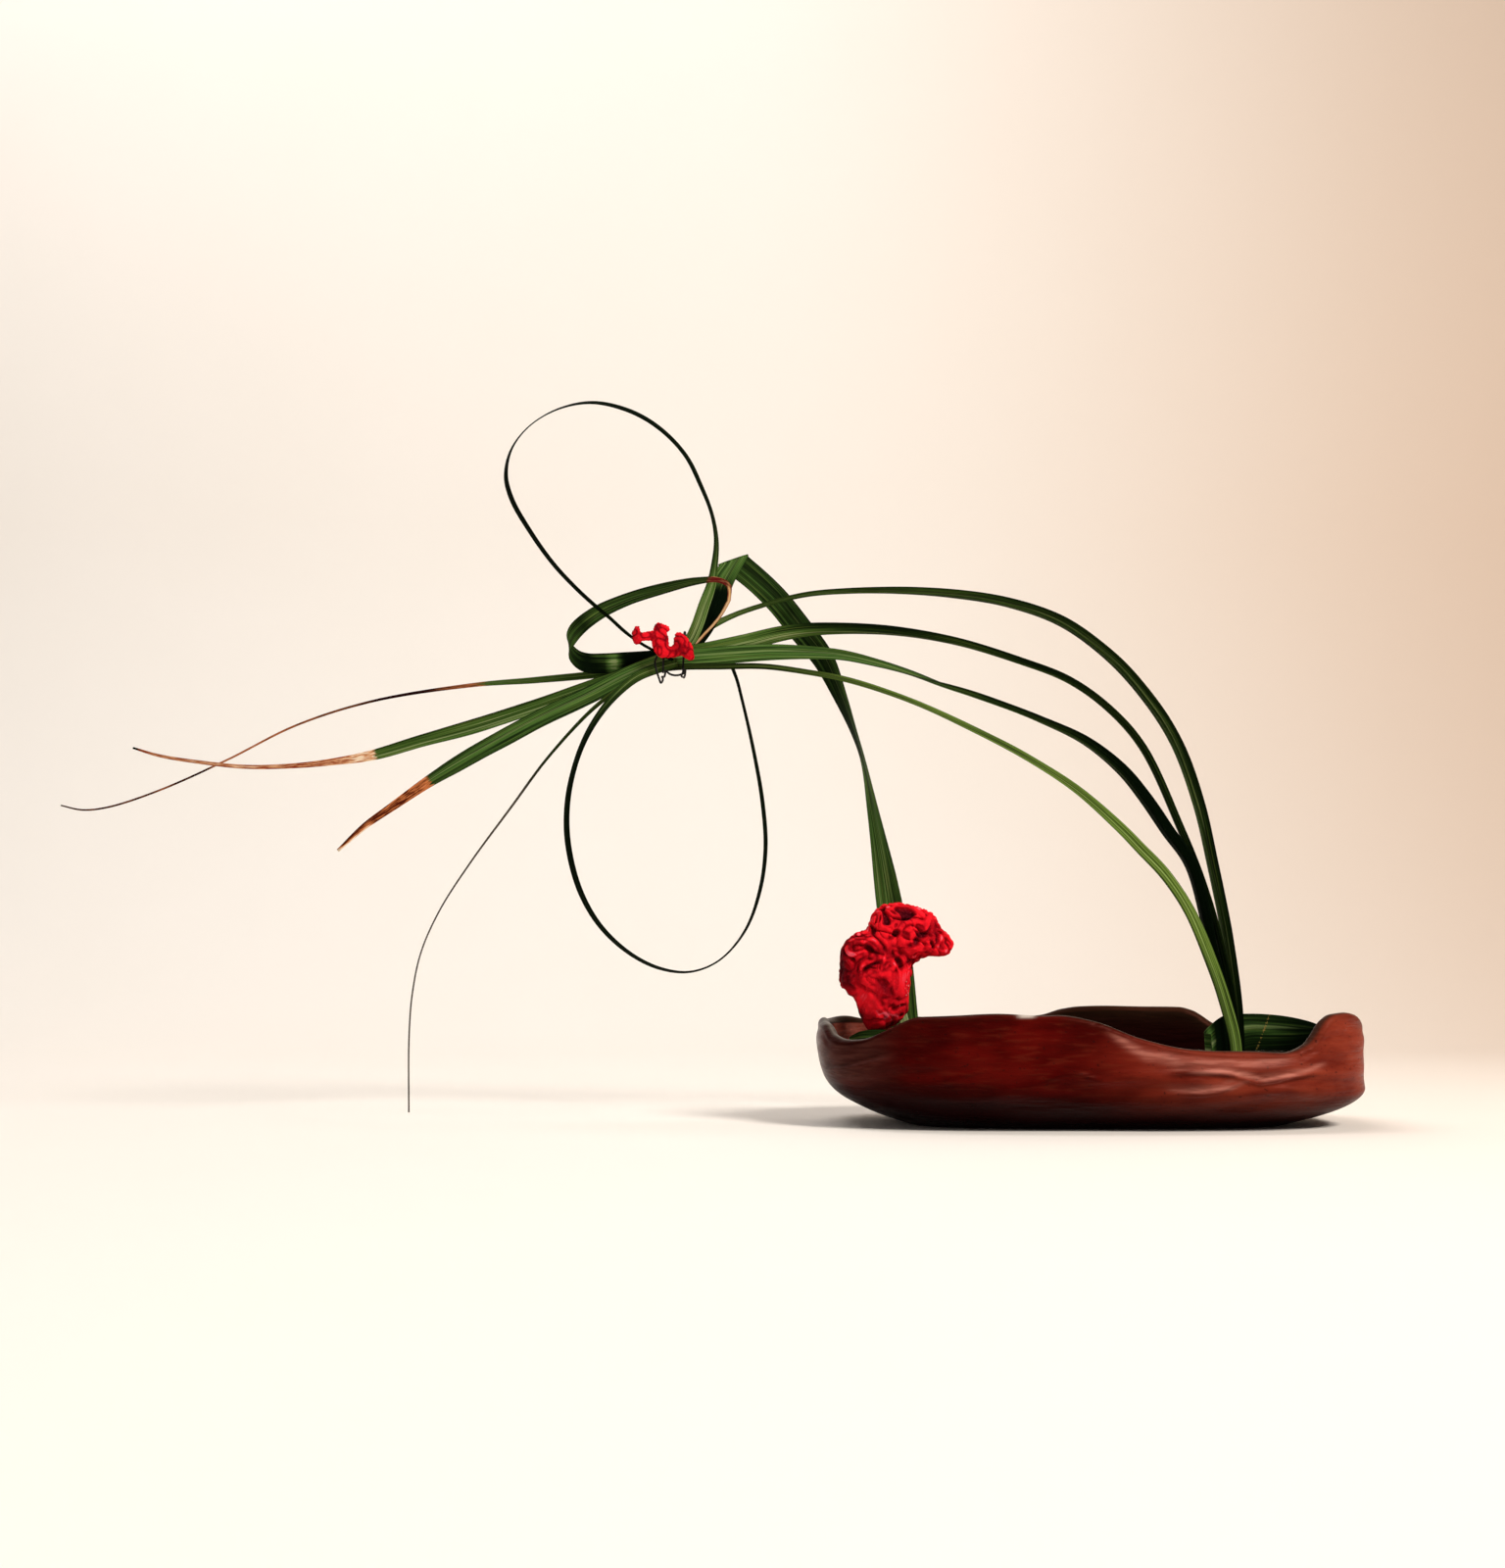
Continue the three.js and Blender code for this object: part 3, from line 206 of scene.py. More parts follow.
SECOND_ARCH = [
    [98, 2, ROOT, 8.5, -60, -15], [97, 2, 61, 8.5, -62, -18], [89, 4, 120, 9, -70, -20],
    [78.5, 5, 160, 9.5, -72, -20], [65, 6, 197, 10, -74, -20], [41.5, 8, 251.5, 10, -72, -20],
    [18.5, 9, 279, 10, -73, -20], [-8, 10, 298.5, 10, -73, -20], [-42, 10, 312, 10, -73, -20],
    [-85, 9, 325, 10, -70, -20], [-129, 7, 332, 10.5, -64, -16], [-178, 3, 332.5, 11, -50, -10],
    [-204, 0.6, 329, 11.5, -36, -6], [-230, -1.4, 322, 12, -16, -3], [-257, TIE - STEP, 316, 12],
    [-282, TIE - STEP, 311, 12], [-307, TIE - STEP, 301, 11], [-334, -2.6, 291.6, 10, 3, 5],
    [-373, -3, 277.6, 10, 10, 12], [-415, -4, 263.8, 10.5, 12, 15], [-449, -4, 254.2, 9, 12, 12],
    [-482, -4, 244.4, 7.4, 10, 10], [-507, -5, 240, 5, 10, 5], [-534, -6, 237, 3.4],
    [-565, -8, 236, 2.8], [-597, -10, 239, 2.4], [-623, -13, 243, 2], [-640, -15, 248, 1.4],
]
THIRD_ARCH = [
    [95, -6, ROOT, 9, -50, -15], [93, -6, 61, 9, -52, -18], [83, -4, 110, 10, -58, -20],
    [70, -2, 170, 11, -54, -22], [55, 0, 194, 11, -50, -22], [41, 1, 216, 11, -50, -22],
    [26, 2, 235, 11, -55, -22], [2, 3, 255, 10.5, -64, -20], [-29, 3, 270, 9.5, -72, -18],
    [-72, 3, 287, 9.5, -82, -26], [-94, 2, 294.5, 10, -98, -26], [-116, 1, 301.5, 10.5, -118, -16],
    [-137, 0, 307.5, 11, -128, -12], [-164, -1.5, 313.5, 11.5, -138, -12],
    [-187, -2.8, 315, 12, -148, -10], [-212, TIE - 2 * STEP, 315, 12, -165, -5],
    [-244, TIE - 2 * STEP, 313, 12, -180], [-282, TIE - 2 * STEP, 309, 12, -180],
    [-307, -4, 300, 12, -180], [-334, -5.6, 286, 12, -184, -6], [-362, -9, 272, 12, -190, -12],
    [-398, -14, 251.5, 11.6, -194, -15], [-420, -18, 238, 10.6, -194, -15],
    [-441, -21, 224.2, 7.8, -194, -12], [-463.5, -24.5, 207.5, 5.6, -190, -10],
    [-481, -28, 194, 4.2, -184, -5], [-497.5, -30, 178, 2, -180],
]
LOW_ARCH = [
    [92, -14, ROOT, 9, 18, 15], [93, -14, 51, 9, 16, 18], [87, -13, 80, 9, 15, 20],
    [79, -12, 106, 9, 15, 20], [66, -11, 139, 8.5, 15, 20], [51, -10, 163, 8.5, 16, 20],
    [35, -8, 181, 8.5, 18, 20], [22, -7, 195, 8.5, 24, 20], [-6, -6, 220.5, 8, 36, 18],
    [-38, -5, 242, 7.5, 42, 16], [-73, -4, 261, 7, 44, 14], [-116, -4, 281, 6.5, 48, 12],
    [-159, -4.6, 295.5, 6, 42, 8], [-190, TIE - 3 * STEP, 301.5, 4.8, 32, 3],
    [-217, TIE - 3 * STEP, 305, 4.2, 15], [-247, TIE - 3 * STEP, 305, 4.2],
    [-282, TIE - 3 * STEP, 304, 4.4], [-297, -5.2, 300, 4], [-314, -8, 290, 3.4], [-333, -13, 274, 2.6],
    [-361, -25, 240, 1.9], [-383, -34, 207, 1.5], [-408, -45, 169, 1.2], [-426, -52, 138, 1],
    [-436.5, -57, 111, 1], [-441, -60, 84, 1], [-442, -62, 57, 1], [-441, -63, 11, 1],
]
UPPER_LOOP = [
    [-275, TIE, 316, 7], [-268, TIE, 323, 8.5], [-263, -1.5, 333, 8.5], [-258, -1, 348, 8, 10],
    [-253, 0, 363, 7, 25], [-251, 2, 377, 6, 42], [-250, 6, 395, 5.5, 55], [-253, 10, 414, 5, 58],
    [-261, 14, 436, 5, 52], [-272, 18, 459, 5, 48], [-290, 21, 479, 5, 42], [-311, 22, 492, 5, 40],
    [-337, 21, 498, 5, 46], [-360, 18, 493, 5, 58], [-380, 12, 479, 5, 66], [-392, 5, 460, 5, 60],
    [-395, -1, 440, 5, 50], [-390, -8, 421, 5, 48], [-376, -18, 396, 4.6, 50], [-358, -29, 370, 4.2, 52],
    [-341, -36, 351, 3.6, 50], [-328, -37, 339, 3, 42], [-320, -32, 333, 2.6, 35],
    [-312, -21, 327, 2.4, 25], [-305, -13, 322.5, 2, 10], [-297, -8.6, 318, 2],
    [-288, TIE - 5 * STEP, 313.5, 2], [-279, TIE - 5 * STEP, 309, 2],
]
LOWER_LOOP = [
    [-276, TIE - 4 * STEP, 307, 6], [-290, TIE - 4 * STEP, 303, 6.5], [-302, -7.2, 298, 6.5],
    [-312, -9.5, 290, 6, 10], [-324, -14, 276, 6, 30], [-335, -20, 257, 6, 42],
    [-342.5, -25, 236, 6, 48], [-347, -30, 209, 6, 46], [-346, -32, 182, 6, 45],
    [-338, -32, 152, 5.6, 46], [-325, -27, 129, 5.2, 50], [-306, -19, 111, 5, 58],
    [-286, -9, 101, 5, 66], [-266, 2, 99, 5, 76], [-247, 12, 107, 5, 80], [-230, 21, 127, 5, 72],
    [-220, 26, 154, 5, 62], [-216, 28, 184, 5, 56], [-218, 28, 215, 5, 56], [-224, 25, 250, 4.6, 58],
    [-232, 20, 285, 4, 58], [-237, 17, 303, 3.6, 50], [-243, 14, 314, 3.4, 35], [-254, 10, 318, 3.4, 15],
    [-267, 6, 316, 3.6], [-281, TIE + 4 * STEP, 311, 4],
]

# The folded leaf has one more column, which is 1 where the blade follows the crease.
CREASE_HALF = np.array([10.2, 0, 3.6])
CREASE_RADIUS = 1.4
CREASE_TURNS = (25, 45, 70, 90, 110, 135, 155)
FOLDED_RISING = [
    [-117, 13, ROOT + 1.2, 15, 0, 10], [-122.4, 14, 67, 18.5, 0, 10], [-126.6, 15, 110, 19, 0, 10],
    [-133.6, 17, 157, 18.6, -34, 8], [-142, 20, 207, 17, -66, 5], [-149, 22, 245, 17, -84, 3],
    [-155, 24, 265, 17, -80, 3], [-164, 25, 289, 17, -62, 3], [-176, 26, 316, 17.5, -36, 2],
    [-191, 26, 336, 17.5, -16], [-207, 24, 356, 17.5, -6], [-223, 20, 371, 17.5, 0, 0, 0.15],
    [-238, 14.2, 382, 17.5, 0, 0, 1],
]
FOLDED_FALLING = [
    [-238, 14.2 - 2 * CREASE_RADIUS, 382, 17.5, 180, 0, 1], [-246, 8.5, 368, 17.5, 180, 0, 0.4],
    [-251, 6, 354, 17, 180, 0, 0.1], [-256, 4, 340, 15, 180], [-263, 2.4, 327, 13, 180],
    [-272, 1.4, 317, 12, 180], [-282, TIE + 2 * STEP, 312, 12.5, 180],
]
FOLDED_LOOP = [
    [-282, TIE + 2 * STEP, 312, 12.5, 180], [-296, 1.2, 310, 14, 180], [-311, 2.6, 309.2, 14.2, 180],
    [-326, 3.4, 308.6, 14, 180], [-338.5, 2, 308.8, 13.6, 180], [-345.4, -5, 311.5, 12.4, 182],
    [-348.8, -13, 317.5, 11.8, 188], [-344, -21, 326, 11, 198], [-330, -26, 336.6, 10.2, 207],
    [-309, -29, 346, 9, 216], [-283, -29, 354, 8.6, 226], [-262, -25, 359.6, 6.6, 232],
    [-248, -18, 361.8, 4.6, 238], [-241, -12, 359, 3.2, 246], [-241, -7, 350, 2.4, 262],
]
FOLDED_TIP = [
    [-241, -7, 350, 2.4], [-247, -3.6, 340, 2], [-255, -1.2, 331, 1.9], [-266, TIE + STEP, 320, 2],
    [-279, TIE + STEP, 313, 2.4],
]

# Leaves stood on edge in the bowl, as [x, lower edge, upper edge, y, lean].
COLLAR_KEEL = 0.03
RIGHT_COLLAR = [
    [80, ROOT, 57.5, -2, 0], [77, ROOT + GAP, 58, 3, 0], [83, ROOT + 2 * GAP, 62.5, 12, 0],
    [96, 30, 69.5, 22, 0], [112, 41, 70.5, 27, 0], [128, 42, 70, 27, 0], [143, 44, 68, 22, 0],
    [155, 49.5, 64.5, 15, 0], [162, 54, 60, 8, 0],
]
LEFT_COLLAR = [
    [-162, 49, 57, -30, 0], [-154, 43, 61, -36, 8], [-140, 40, 62, -40, 12], [-124, 38, 60, -38, 10],
    [-110, 30, 58, -32, 4], [-101, ROOT, 56, -24, 0],
]

# What each leaf looks like. Rows of tones are [route row, lower or inner edge, middle, upper or outer
# edge] or [route row, one number for all three]. They say in hundredths how light the green is, and so
# paint light and shade onto it: painted light on lit stretches, painted shade on shaded undersides and
# in cast shadows, and painted highlights where they run high. dry is the route row where the green ends,
# and over how many rows it fades into straw. Rows of dry_tones say how far the straw has gone to rust,
# and are under 0 where it is paler. vein is where a pale vein runs, from -1 to 1 across the blade, and
# how strong it is. scar is a dry line aslant between two rows.
LOOKS = {
    "leaf_arch_top": dict(
        route=TOP_ARCH, green="leaf_dark", vein=(0.3, 0.2), dry=(20.9, 0.5),
        straw=(0.5, 0.16, 0.06), rust=(0.014, 0.002, 0.003),
        tones=[
            (0, 30, 10, 2), (2, 80, 40, 3), (4, 70, 50, 10), (6, 30, 45, 15), (9, 15, 45, 20),
            (12, 20, 60, 40), (14, 40, 80, 60), (16, 75, 80, 70), (17, 10), (18.4, 10), (19, 60, 70, 60),
            (21, 80, 80, 70),
        ],
        dry_tones=[
            (20.9, 30), (21.3, 60), (21.5, 120), (21.9, 120), (22.2, 65), (22.7, 55), (23.1, 30),
            (23.6, 10), (24.1, 10), (24.3, 100), (24.7, 100), (24.9, 40), (25.3, 80), (28, 90),
        ],
    ),
    "leaf_arch_second": dict(
        route=SECOND_ARCH, green="leaf_dark", vein=(-0.35, 0.3), dry=(20.95, 0.2),
        straw=(0.7, 0.34, 0.16), rust=(0.26, 0.035, 0.012), mottle=0.8,
        tones=[
            (0, 2, 2, 20), (2, 2, 4, 30), (4, 12, 25, 30), (6, 20, 30, 20), (9, 20, 40, 20),
            (10, 40, 30, 2), (11, 70, 60, 2), (12, 90, 100, 30), (13, 100, 130, 90), (15, 50, 80, 50),
            (17, 90, 85, 45), (18, 100, 90, 50), (20, 95, 80, 50),
        ],
        dry_tones=[
            (21, -50, -30, -40), (21.5, -20, 0, -20), (21.9, 60, 30, 70), (23, 110, 60, 110),
            (23.6, 90, 0, 80), (25, 110, 0, 110), (26.4, 100, 50, 100), (26.7, 100), (26.9, 300),
        ],
    ),
    "leaf_arch_third": dict(
        route=THIRD_ARCH, green="leaf_green", vein=(-0.2, 0.18), dry=(22.95, 0.25),
        straw=(0.55, 0.17, 0.055), rust=(0.07, 0.008, 0.003), mottle=0.5,
        tones=[
            (0, 2), (2, 4, 2, 2), (5, 14, 6, 2), (8, 25, 35, 8), (10, 50, 60, 40), (13, 70, 90, 70),
            (17, 80, 80, 70), (19, 45, 70, 40), (21, 50, 62, 40), (23, 40, 55, 35),
        ],
        dry_tones=[
            (22.6, -10, 0, 0), (23.2, 50, 50, 20), (23.8, 35, 80, 40), (24.6, 50, 100, 70),
            (24.9, 120, 70, -80), (25.7, 170, 60, -130), (26, 0, -60, -130),
        ],
    ),
    "leaf_arch_low": dict(
        route=LOW_ARCH, green="leaf_bright", vein=(0, 0.12), dry=(20.5, 2),
        straw=(0.1, 0.08, 0.055), rust=(0.035, 0.025, 0.03),
        tones=[
            (0, 10, 75, 80), (3, 15, 80, 80), (5, 25, 80, 75), (7, 45, 75, 60), (9, 80, 40, 80),
            (12, 70, 25, 70), (14, 10, 30, 20), (16, 10, 25, 10), (18, 20, 30, 20), (20, 10, 20, 10),
        ],
        dry_tones=[(0, 50, 30, 50)],
    ),
    "leaf_loop_upper": dict(
        route=UPPER_LOOP, green="leaf_dark", vein=(0.1, 0.3), thickness=STRIP,
        tones=[
            (0, 80, 90, 90), (2, 90, 110, 100), (3.6, 80, 100, 90), (5, 30, 50, 60), (7, 2, 4, 10),
            (12, 2, 4, 10), (26, 5, 10, 5),
        ],
    ),
    "leaf_loop_lower": dict(
        route=LOWER_LOOP, green="leaf_dark", vein=(0.1, 0.2), thickness=STRIP,
        tones=[
            (0, 40, 70, 50), (3, 30, 60, 30), (5, 10, 15, 10), (14, 2, 5, 2), (25, 2, 4, 2),
        ],
    ),
    "leaf_folded": dict(
        green="leaf_green", vein=(0.25, 0.08), dry=(30.5, 0.5),
        straw=(0.72, 0.42, 0.18), rust=(0.14, 0.008, 0.01),
        tones=[
            (0, 60, 70, 60), (3, 75, 85, 70), (4.6, 60, 65, 50), (5.3, 10, 25, 50), (6.3, 8, 25, 60),
            (8, 20, 30, 30), (10, 40, 40, 20), (12, 45, 40, 25), (13, 80, 80, 75), (13.9, 70, 70, 50),
            (14.6, 2, 3, 2), (18, 2, 3, 2), (21, 0, 2, 0), (21.3, 10, 30, 10), (21.45, 40, 170, 60),
            (21.75, 40, 150, 50), (21.9, 30, 30, 2), (22.4, 35, 10, 2), (23, 2, 4, 2), (24.4, 30, 30, 20),
            (25.6, 75, 60, 50), (26.4, 20, 20, 10), (27, 40, 45, 40), (30, 25, 40, 20),
        ],
        dry_tones=[(30, 80), (31.4, 100), (32.2, 90, 10, 90), (33.4, 80, -40, 60)],
    ),
    "leaf_collar_right": dict(
        collar=RIGHT_COLLAR, green="leaf_green", vein=(0.4, 0.2), scar=(4.3, 5.0),
        straw=(0.3, 0.2, 0.05), rust=(0.1, 0.07, 0.02),
        tones=[
            (0, 100, 110, 110), (2.1, 100, 110, 110), (2.4, 0, 2, 2), (3.4, 0, 2, 2), (3.9, 2, 35, 45),
            (5.2, 2, 35, 35), (6.2, 0, 12, 20), (8, 0, 5, 8),
        ],
    ),
    "leaf_collar_left": dict(
        collar=LEFT_COLLAR, green="leaf_green", vein=(0.4, 0.2), tones=[(0, 60, 70, 60), (5, 50, 60, 50)],
    ),
}

# Colours
DEEP_GREEN = (0.0015, 0.004, 0.0015)
# Pale green of the veins, also laid on as a painted highlight.
PALE_VEIN_AND_HIGHLIGHT = (0.46, 0.52, 0.24)
OLIVE = (0.17, 0.14, 0.03)
BROWN = (0.3, 0.14, 0.08)
PALE_STRAW = (0.92, 0.74, 0.54)
GREENS = {
    "leaf_dark": (0.07, 0.145, 0.025),
    "leaf_green": (0.075, 0.165, 0.032),
    "leaf_bright": (0.165, 0.265, 0.045),
}
# The glaze's pairs run from the left end of the bowl to its right: darker to the left as painted shade,
# brighter and redder to the right as painted light. Over them the mesh's numbers lay painted shade, the
# dark lip, and pale clay for the chip and a faint painted highlight on the lip's left front.
GLAZE_DARK = ((0.04, 0.0008, 0.0008), (0.1, 0.009, 0.005))
GLAZE_LIGHT = ((0.1, 0.003, 0.002), (0.24, 0.034, 0.016))
GLAZE_BRUSH = (0.25, 0.05, 0.022)
GLAZE_SPECK = (0.015, 0.003, 0.003)
GLAZE_LIT = (0.55, 0.2, 0.15)
# Painted shade, the lip's dark glaze, and pale clay for the chip and a painted highlight.
OVERLAID_COLOURS = {"shade": (0.006, 0.0006, 0.0008), "lip": (0.02, 0.01, 0.005), "pale_lip": (0.6, 0.52, 0.45)}
# Reds of the velvet, from painted shade in its crevices to its crests and painted pink highlights.
CREVICE_RED = (0.05, 0, 0.003)
DEEP_RED = (0.34, 0.001, 0.006)
CREST_RED = (0.86, 0.008, 0.018)
GLINT_PINK = (1, 0.13, 0.19)
FUZZ_PINK = (0.95, 0.08, 0.12)
STEM_GREENS = ((0.1, 0.16, 0.05), (0.3, 0.36, 0.14))
BRACT_PINKS = ((0.75, 0.03, 0.04), (0.9, 0.3, 0.28))
BRASS = ((0.28, 0.2, 0.08), (0.56, 0.45, 0.2))
WIRE_BLACKS = ((0.004, 0.004, 0.004), (0.02, 0.018, 0.016))
WATER_TINT = (0.8, 0.88, 0.82, 1)
PAPER = ((0.94, 0.89, 0.83), (0.96, 0.91, 0.86))
# The paper's colour at the far right, darker and warmer as painted shade.
PAPER_RIGHT = (0.78, 0.62, 0.5)

# Stage, in metres
FLOOR_FRONT = -3.2
FLOOR_BACK = 1.0
FLOOR_SIDES = (-4.5, 4.0)
BACKDROP_BEND = 0.9
BACKDROP_TOP = 4.2


# Numbers

def unit(vectors):
    return vectors / np.maximum(np.linalg.norm(vectors, axis=-1, keepdims=True), 1e-12)


def smoothstep(low, high, value):
    share = np.clip((value - low) / (high - low), 0, 1)
    return share * share * (3 - 2 * share)


def bell(off, half_width=1):
    """1 in the middle, falling softly to 0 on both sides."""
    return np.exp(-((off / half_width) ** 2))


def soft_curve(pairs, position):
    """Value of a soft curve through [position, value] pairs, level at its ends, peaks and dips."""
    places, values = np.array(pairs, float).T
    slopes = np.diff(values) / np.diff(places)
    product = slopes[:-1] * slopes[1:]
    total = np.where(product > 0, slopes[:-1] + slopes[1:], 1)
    tangents = np.concatenate([[0], np.maximum(product, 0) * 2 / total, [0]])
    position = np.clip(position, places[0], places[-1])
    k = np.clip(np.searchsorted(places, position) - 1, 0, len(places) - 2)
    t = (position - places[k]) / (places[k + 1] - places[k])
    rise = t * t * (3 - 2 * t)
    bend = tangents[k] * t * (1 - t) ** 2 - tangents[k + 1] * t * t * (1 - t)
    return values[k] * (1 - rise) + values[k + 1] * rise + (places[k + 1] - places[k]) * bend


def waves(points, length, seed, count=28, stretch=(1, 1, 1)):
    """A smooth random field over the points, of even wavelength and spread about 1, longer along an
    axis by its stretch."""
    draw = np.random.default_rng(seed)
    directions = unit(draw.normal(size=(count, 3)))
    phases = draw.uniform(0, 2 * math.pi, count)
    angles = (points / np.array(stretch)) @ directions.T * (2 * math.pi / length) + phases
    return np.cos(angles).sum(axis=-1) * math.sqrt(2 / count)


def curve_stations(rows, step=STATION_STEP):
    """Rows on the centripetal Catmull-Rom curve through the given rows, about a step apart. Each has
    one more column, its place among the given rows."""
    rows = np.array(rows, float)
    padded = np.vstack([2 * rows[0] - rows[1], rows, 2 * rows[-1] - rows[-2]])
    found = []
    for i in range(len(rows) - 1):
        p = padded[i:i + 4]
        lengths = np.linalg.norm(np.diff(p[:, :3], axis=0), axis=1)
        k = np.concatenate([[0], np.cumsum(np.sqrt(lengths))])
        count = max(2, math.ceil(lengths[1] / step))
        share = np.arange(count + (i == len(rows) - 2)) / count
        t = (k[1] + (k[2] - k[1]) * share)[:, None]

        def blend(a, b, low, high):
            return ((k[high] - t) * a + (t - k[low]) * b) / (k[high] - k[low])

        first = blend(p[0], p[1], 0, 1)
        second = blend(p[1], p[2], 1, 2)
        third = blend(p[2], p[3], 2, 3)
        row = blend(blend(first, second, 0, 2), blend(second, third, 1, 3), 1, 2)
        found.append(np.hstack([row, (i + share)[:, None]]))
    return np.vstack(found)


# Meshes

def skin(rings):
    """A closed skin over rings of points, with a fan at each end, as (points, faces)."""
    count, sides = rings.shape[:2]
    points = np.vstack([rings.reshape(-1, 3), rings[0].mean(axis=0), rings[-1].mean(axis=0)])
    start = np.arange(count - 1)[:, None] * sides
    side = np.arange(sides)
    after = (side + 1) % sides
    corners = (start + side, start + after, start + sides + after, start + sides + side)
    quads = np.stack(corners, axis=-1).reshape(-1, 4)
    first = count * sides
    last = (count - 1) * sides
    fans = [(first, b, a) for a, b in zip(side, after)]
    fans += [(first + 1, last + a, last + b) for a, b in zip(side, after)]
    return points, quads.tolist() + fans


def merged(skins):
    """Several skins as one, side by side."""
    points = np.vstack([skin_points for skin_points, _ in skins])
    faces = []
    start = 0
    for skin_points, skin_faces in skins:
        faces += [[start + corner for corner in face] for face in skin_faces]
        start += len(skin_points)
    return points, faces


def signed_volume(mesh):
    """Six times the mesh's volume, under 0 where its faces look inward."""
    mesh.calc_loop_triangles()
    corners = np.zeros(len(mesh.loop_triangles) * 3, np.int32)
    mesh.loop_triangles.foreach_get("vertices", corners)
    places = np.zeros(len(mesh.vertices) * 3)
    mesh.vertices.foreach_get("co", places)
    a, b, c = places.reshape(-1, 3)[corners.reshape(-1, 3)].transpose(1, 0, 2)
    return np.einsum("ij,ij->", a, np.cross(b, c))


def make_mesh(name, points, faces):
    mesh = bpy.data.meshes.new(name)
    mesh.from_pydata((np.asarray(points) * MM).tolist(), [], faces)
    mesh.update()
    if signed_volume(mesh) < 0:
        mesh.flip_normals()
    mesh.shade_smooth()
    return mesh


def add_values(mesh, values):
    """Named numbers on the mesh's points, for its material to read."""
    for name, numbers in values.items():
        attribute = mesh.attributes.new(name, "FLOAT", "POINT")
        attribute.data.foreach_set("value", np.asarray(numbers, np.float32))


def add_object(name, data):
    made = bpy.data.objects.new(name, data)
    bpy.context.scene.collection.objects.link(made)
    return made


def place_piece(name, mesh, material, slot, *nodes):
    """Shows the mesh as a piece of the object that stands for the nodes."""
    piece = add_object(name, mesh)
    mesh.materials.append(material)
    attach(piece, "root")
    if nodes:
        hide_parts(*nodes)


# Materials

class Painter:
    """Builds the nodes of one material round its shader."""

    def __init__(self, name):
        self.material = bpy.data.materials.new(name)
        self.material.use_nodes = True
        self.nodes = self.material.node_tree.nodes

    def plug(self, source, socket):
        """Links an output, or sets a plain value, on an input."""
        if isinstance(source, bpy.types.NodeSocket):
            self.material.node_tree.links.new(source, socket)
        else:
            socket.default_value = source

    def done(self, inputs):
        """The material, with the named inputs of its shader linked or set."""
        for name, source in inputs.items():
            self.plug(source, self.nodes["Principled BSDF"].inputs[name])
        return self.material

    def calculate(self, operation, first, second=0.0):
        node = self.nodes.new("ShaderNodeMath")
        node.operation = operation
        self.plug(first, node.inputs[0])
        self.plug(second, node.inputs[1])
        return node.outputs[0]

    def plus(self, first, second):
        return self.calculate("ADD", first, second)

    def times(self, first, second):
        return self.calculate("MULTIPLY", first, second)

    def read(self, name):
        """The numbers of that name on the mesh's points."""
        node = self.nodes.new("ShaderNodeAttribute")
        node.attribute_name = name
        return node.outputs["Fac"]

    def mix(self, share, first, second, how="MIX"):
        node = self.nodes.new("ShaderNodeMix")
        node.data_type = "RGBA"
        node.blend_type = how
        self.plug(share, node.inputs[0])
        for source, socket in ((first, node.inputs[6]), (second, node.inputs[7])):
            self.plug((*source, 1) if isinstance(source, tuple) else source, socket)
        return node.outputs[2]

    def spread(self, value, low, high, new_low=0.0, new_high=1.0):
        """The value eased from one range into another."""
        node = self.nodes.new("ShaderNodeMapRange")
        node.interpolation_type = "SMOOTHSTEP"
        for source, socket in zip((value, low, high, new_low, new_high), node.inputs):
            self.plug(source, socket)
        return node.outputs[0]

    def place(self, scale=(1, 1, 1)):
        """The place on the object, in metres, multiplied along each axis."""
        node = self.nodes.new("ShaderNodeMapping")
        node.inputs["Scale"].default_value = scale
        self.plug(self.nodes.new("ShaderNodeTexCoord").outputs["Object"], node.inputs["Vector"])
        return node.outputs[0]

    def noise(self, vector, scale, detail):
        node = self.nodes.new("ShaderNodeTexNoise")
        node.inputs["Scale"].default_value = scale
        node.inputs["Detail"].default_value = detail
        self.plug(vector, node.inputs["Vector"])
        return node.outputs["Fac"]

    def grain(self, scale, detail, along_axes=(1, 1, 1)):
        """Noise over the place on the object."""
        return self.noise(self.place(along_axes), scale, detail)

    def bump(self, height, distance, strength=1.0):
        node = self.nodes.new("ShaderNodeBump")
        node.inputs["Distance"].default_value = distance
        node.inputs["Strength"].default_value = strength
        self.plug(height, node.inputs["Height"])
        return node.outputs[0]


def dry_colour(paint, look, speckle):
    """Straw that goes to rust, to pale straw where it is under 0 and nearly black far above 1."""
    mottle = look.get("mottle", 0.35)
    rusty = paint.plus(paint.read("rusty"), paint.spread(speckle, 0.36, 0.64, -mottle, mottle))
    colour = paint.mix(paint.spread(rusty, 0, 1), look.get("straw", BROWN), look.get("rust", BROWN))
    colour = paint.mix(paint.spread(rusty, -0.8, 0, 1, 0), colour, PALE_STRAW)
    return paint.mix(paint.spread(rusty, 1.6, 2), colour, DEEP_GREEN)


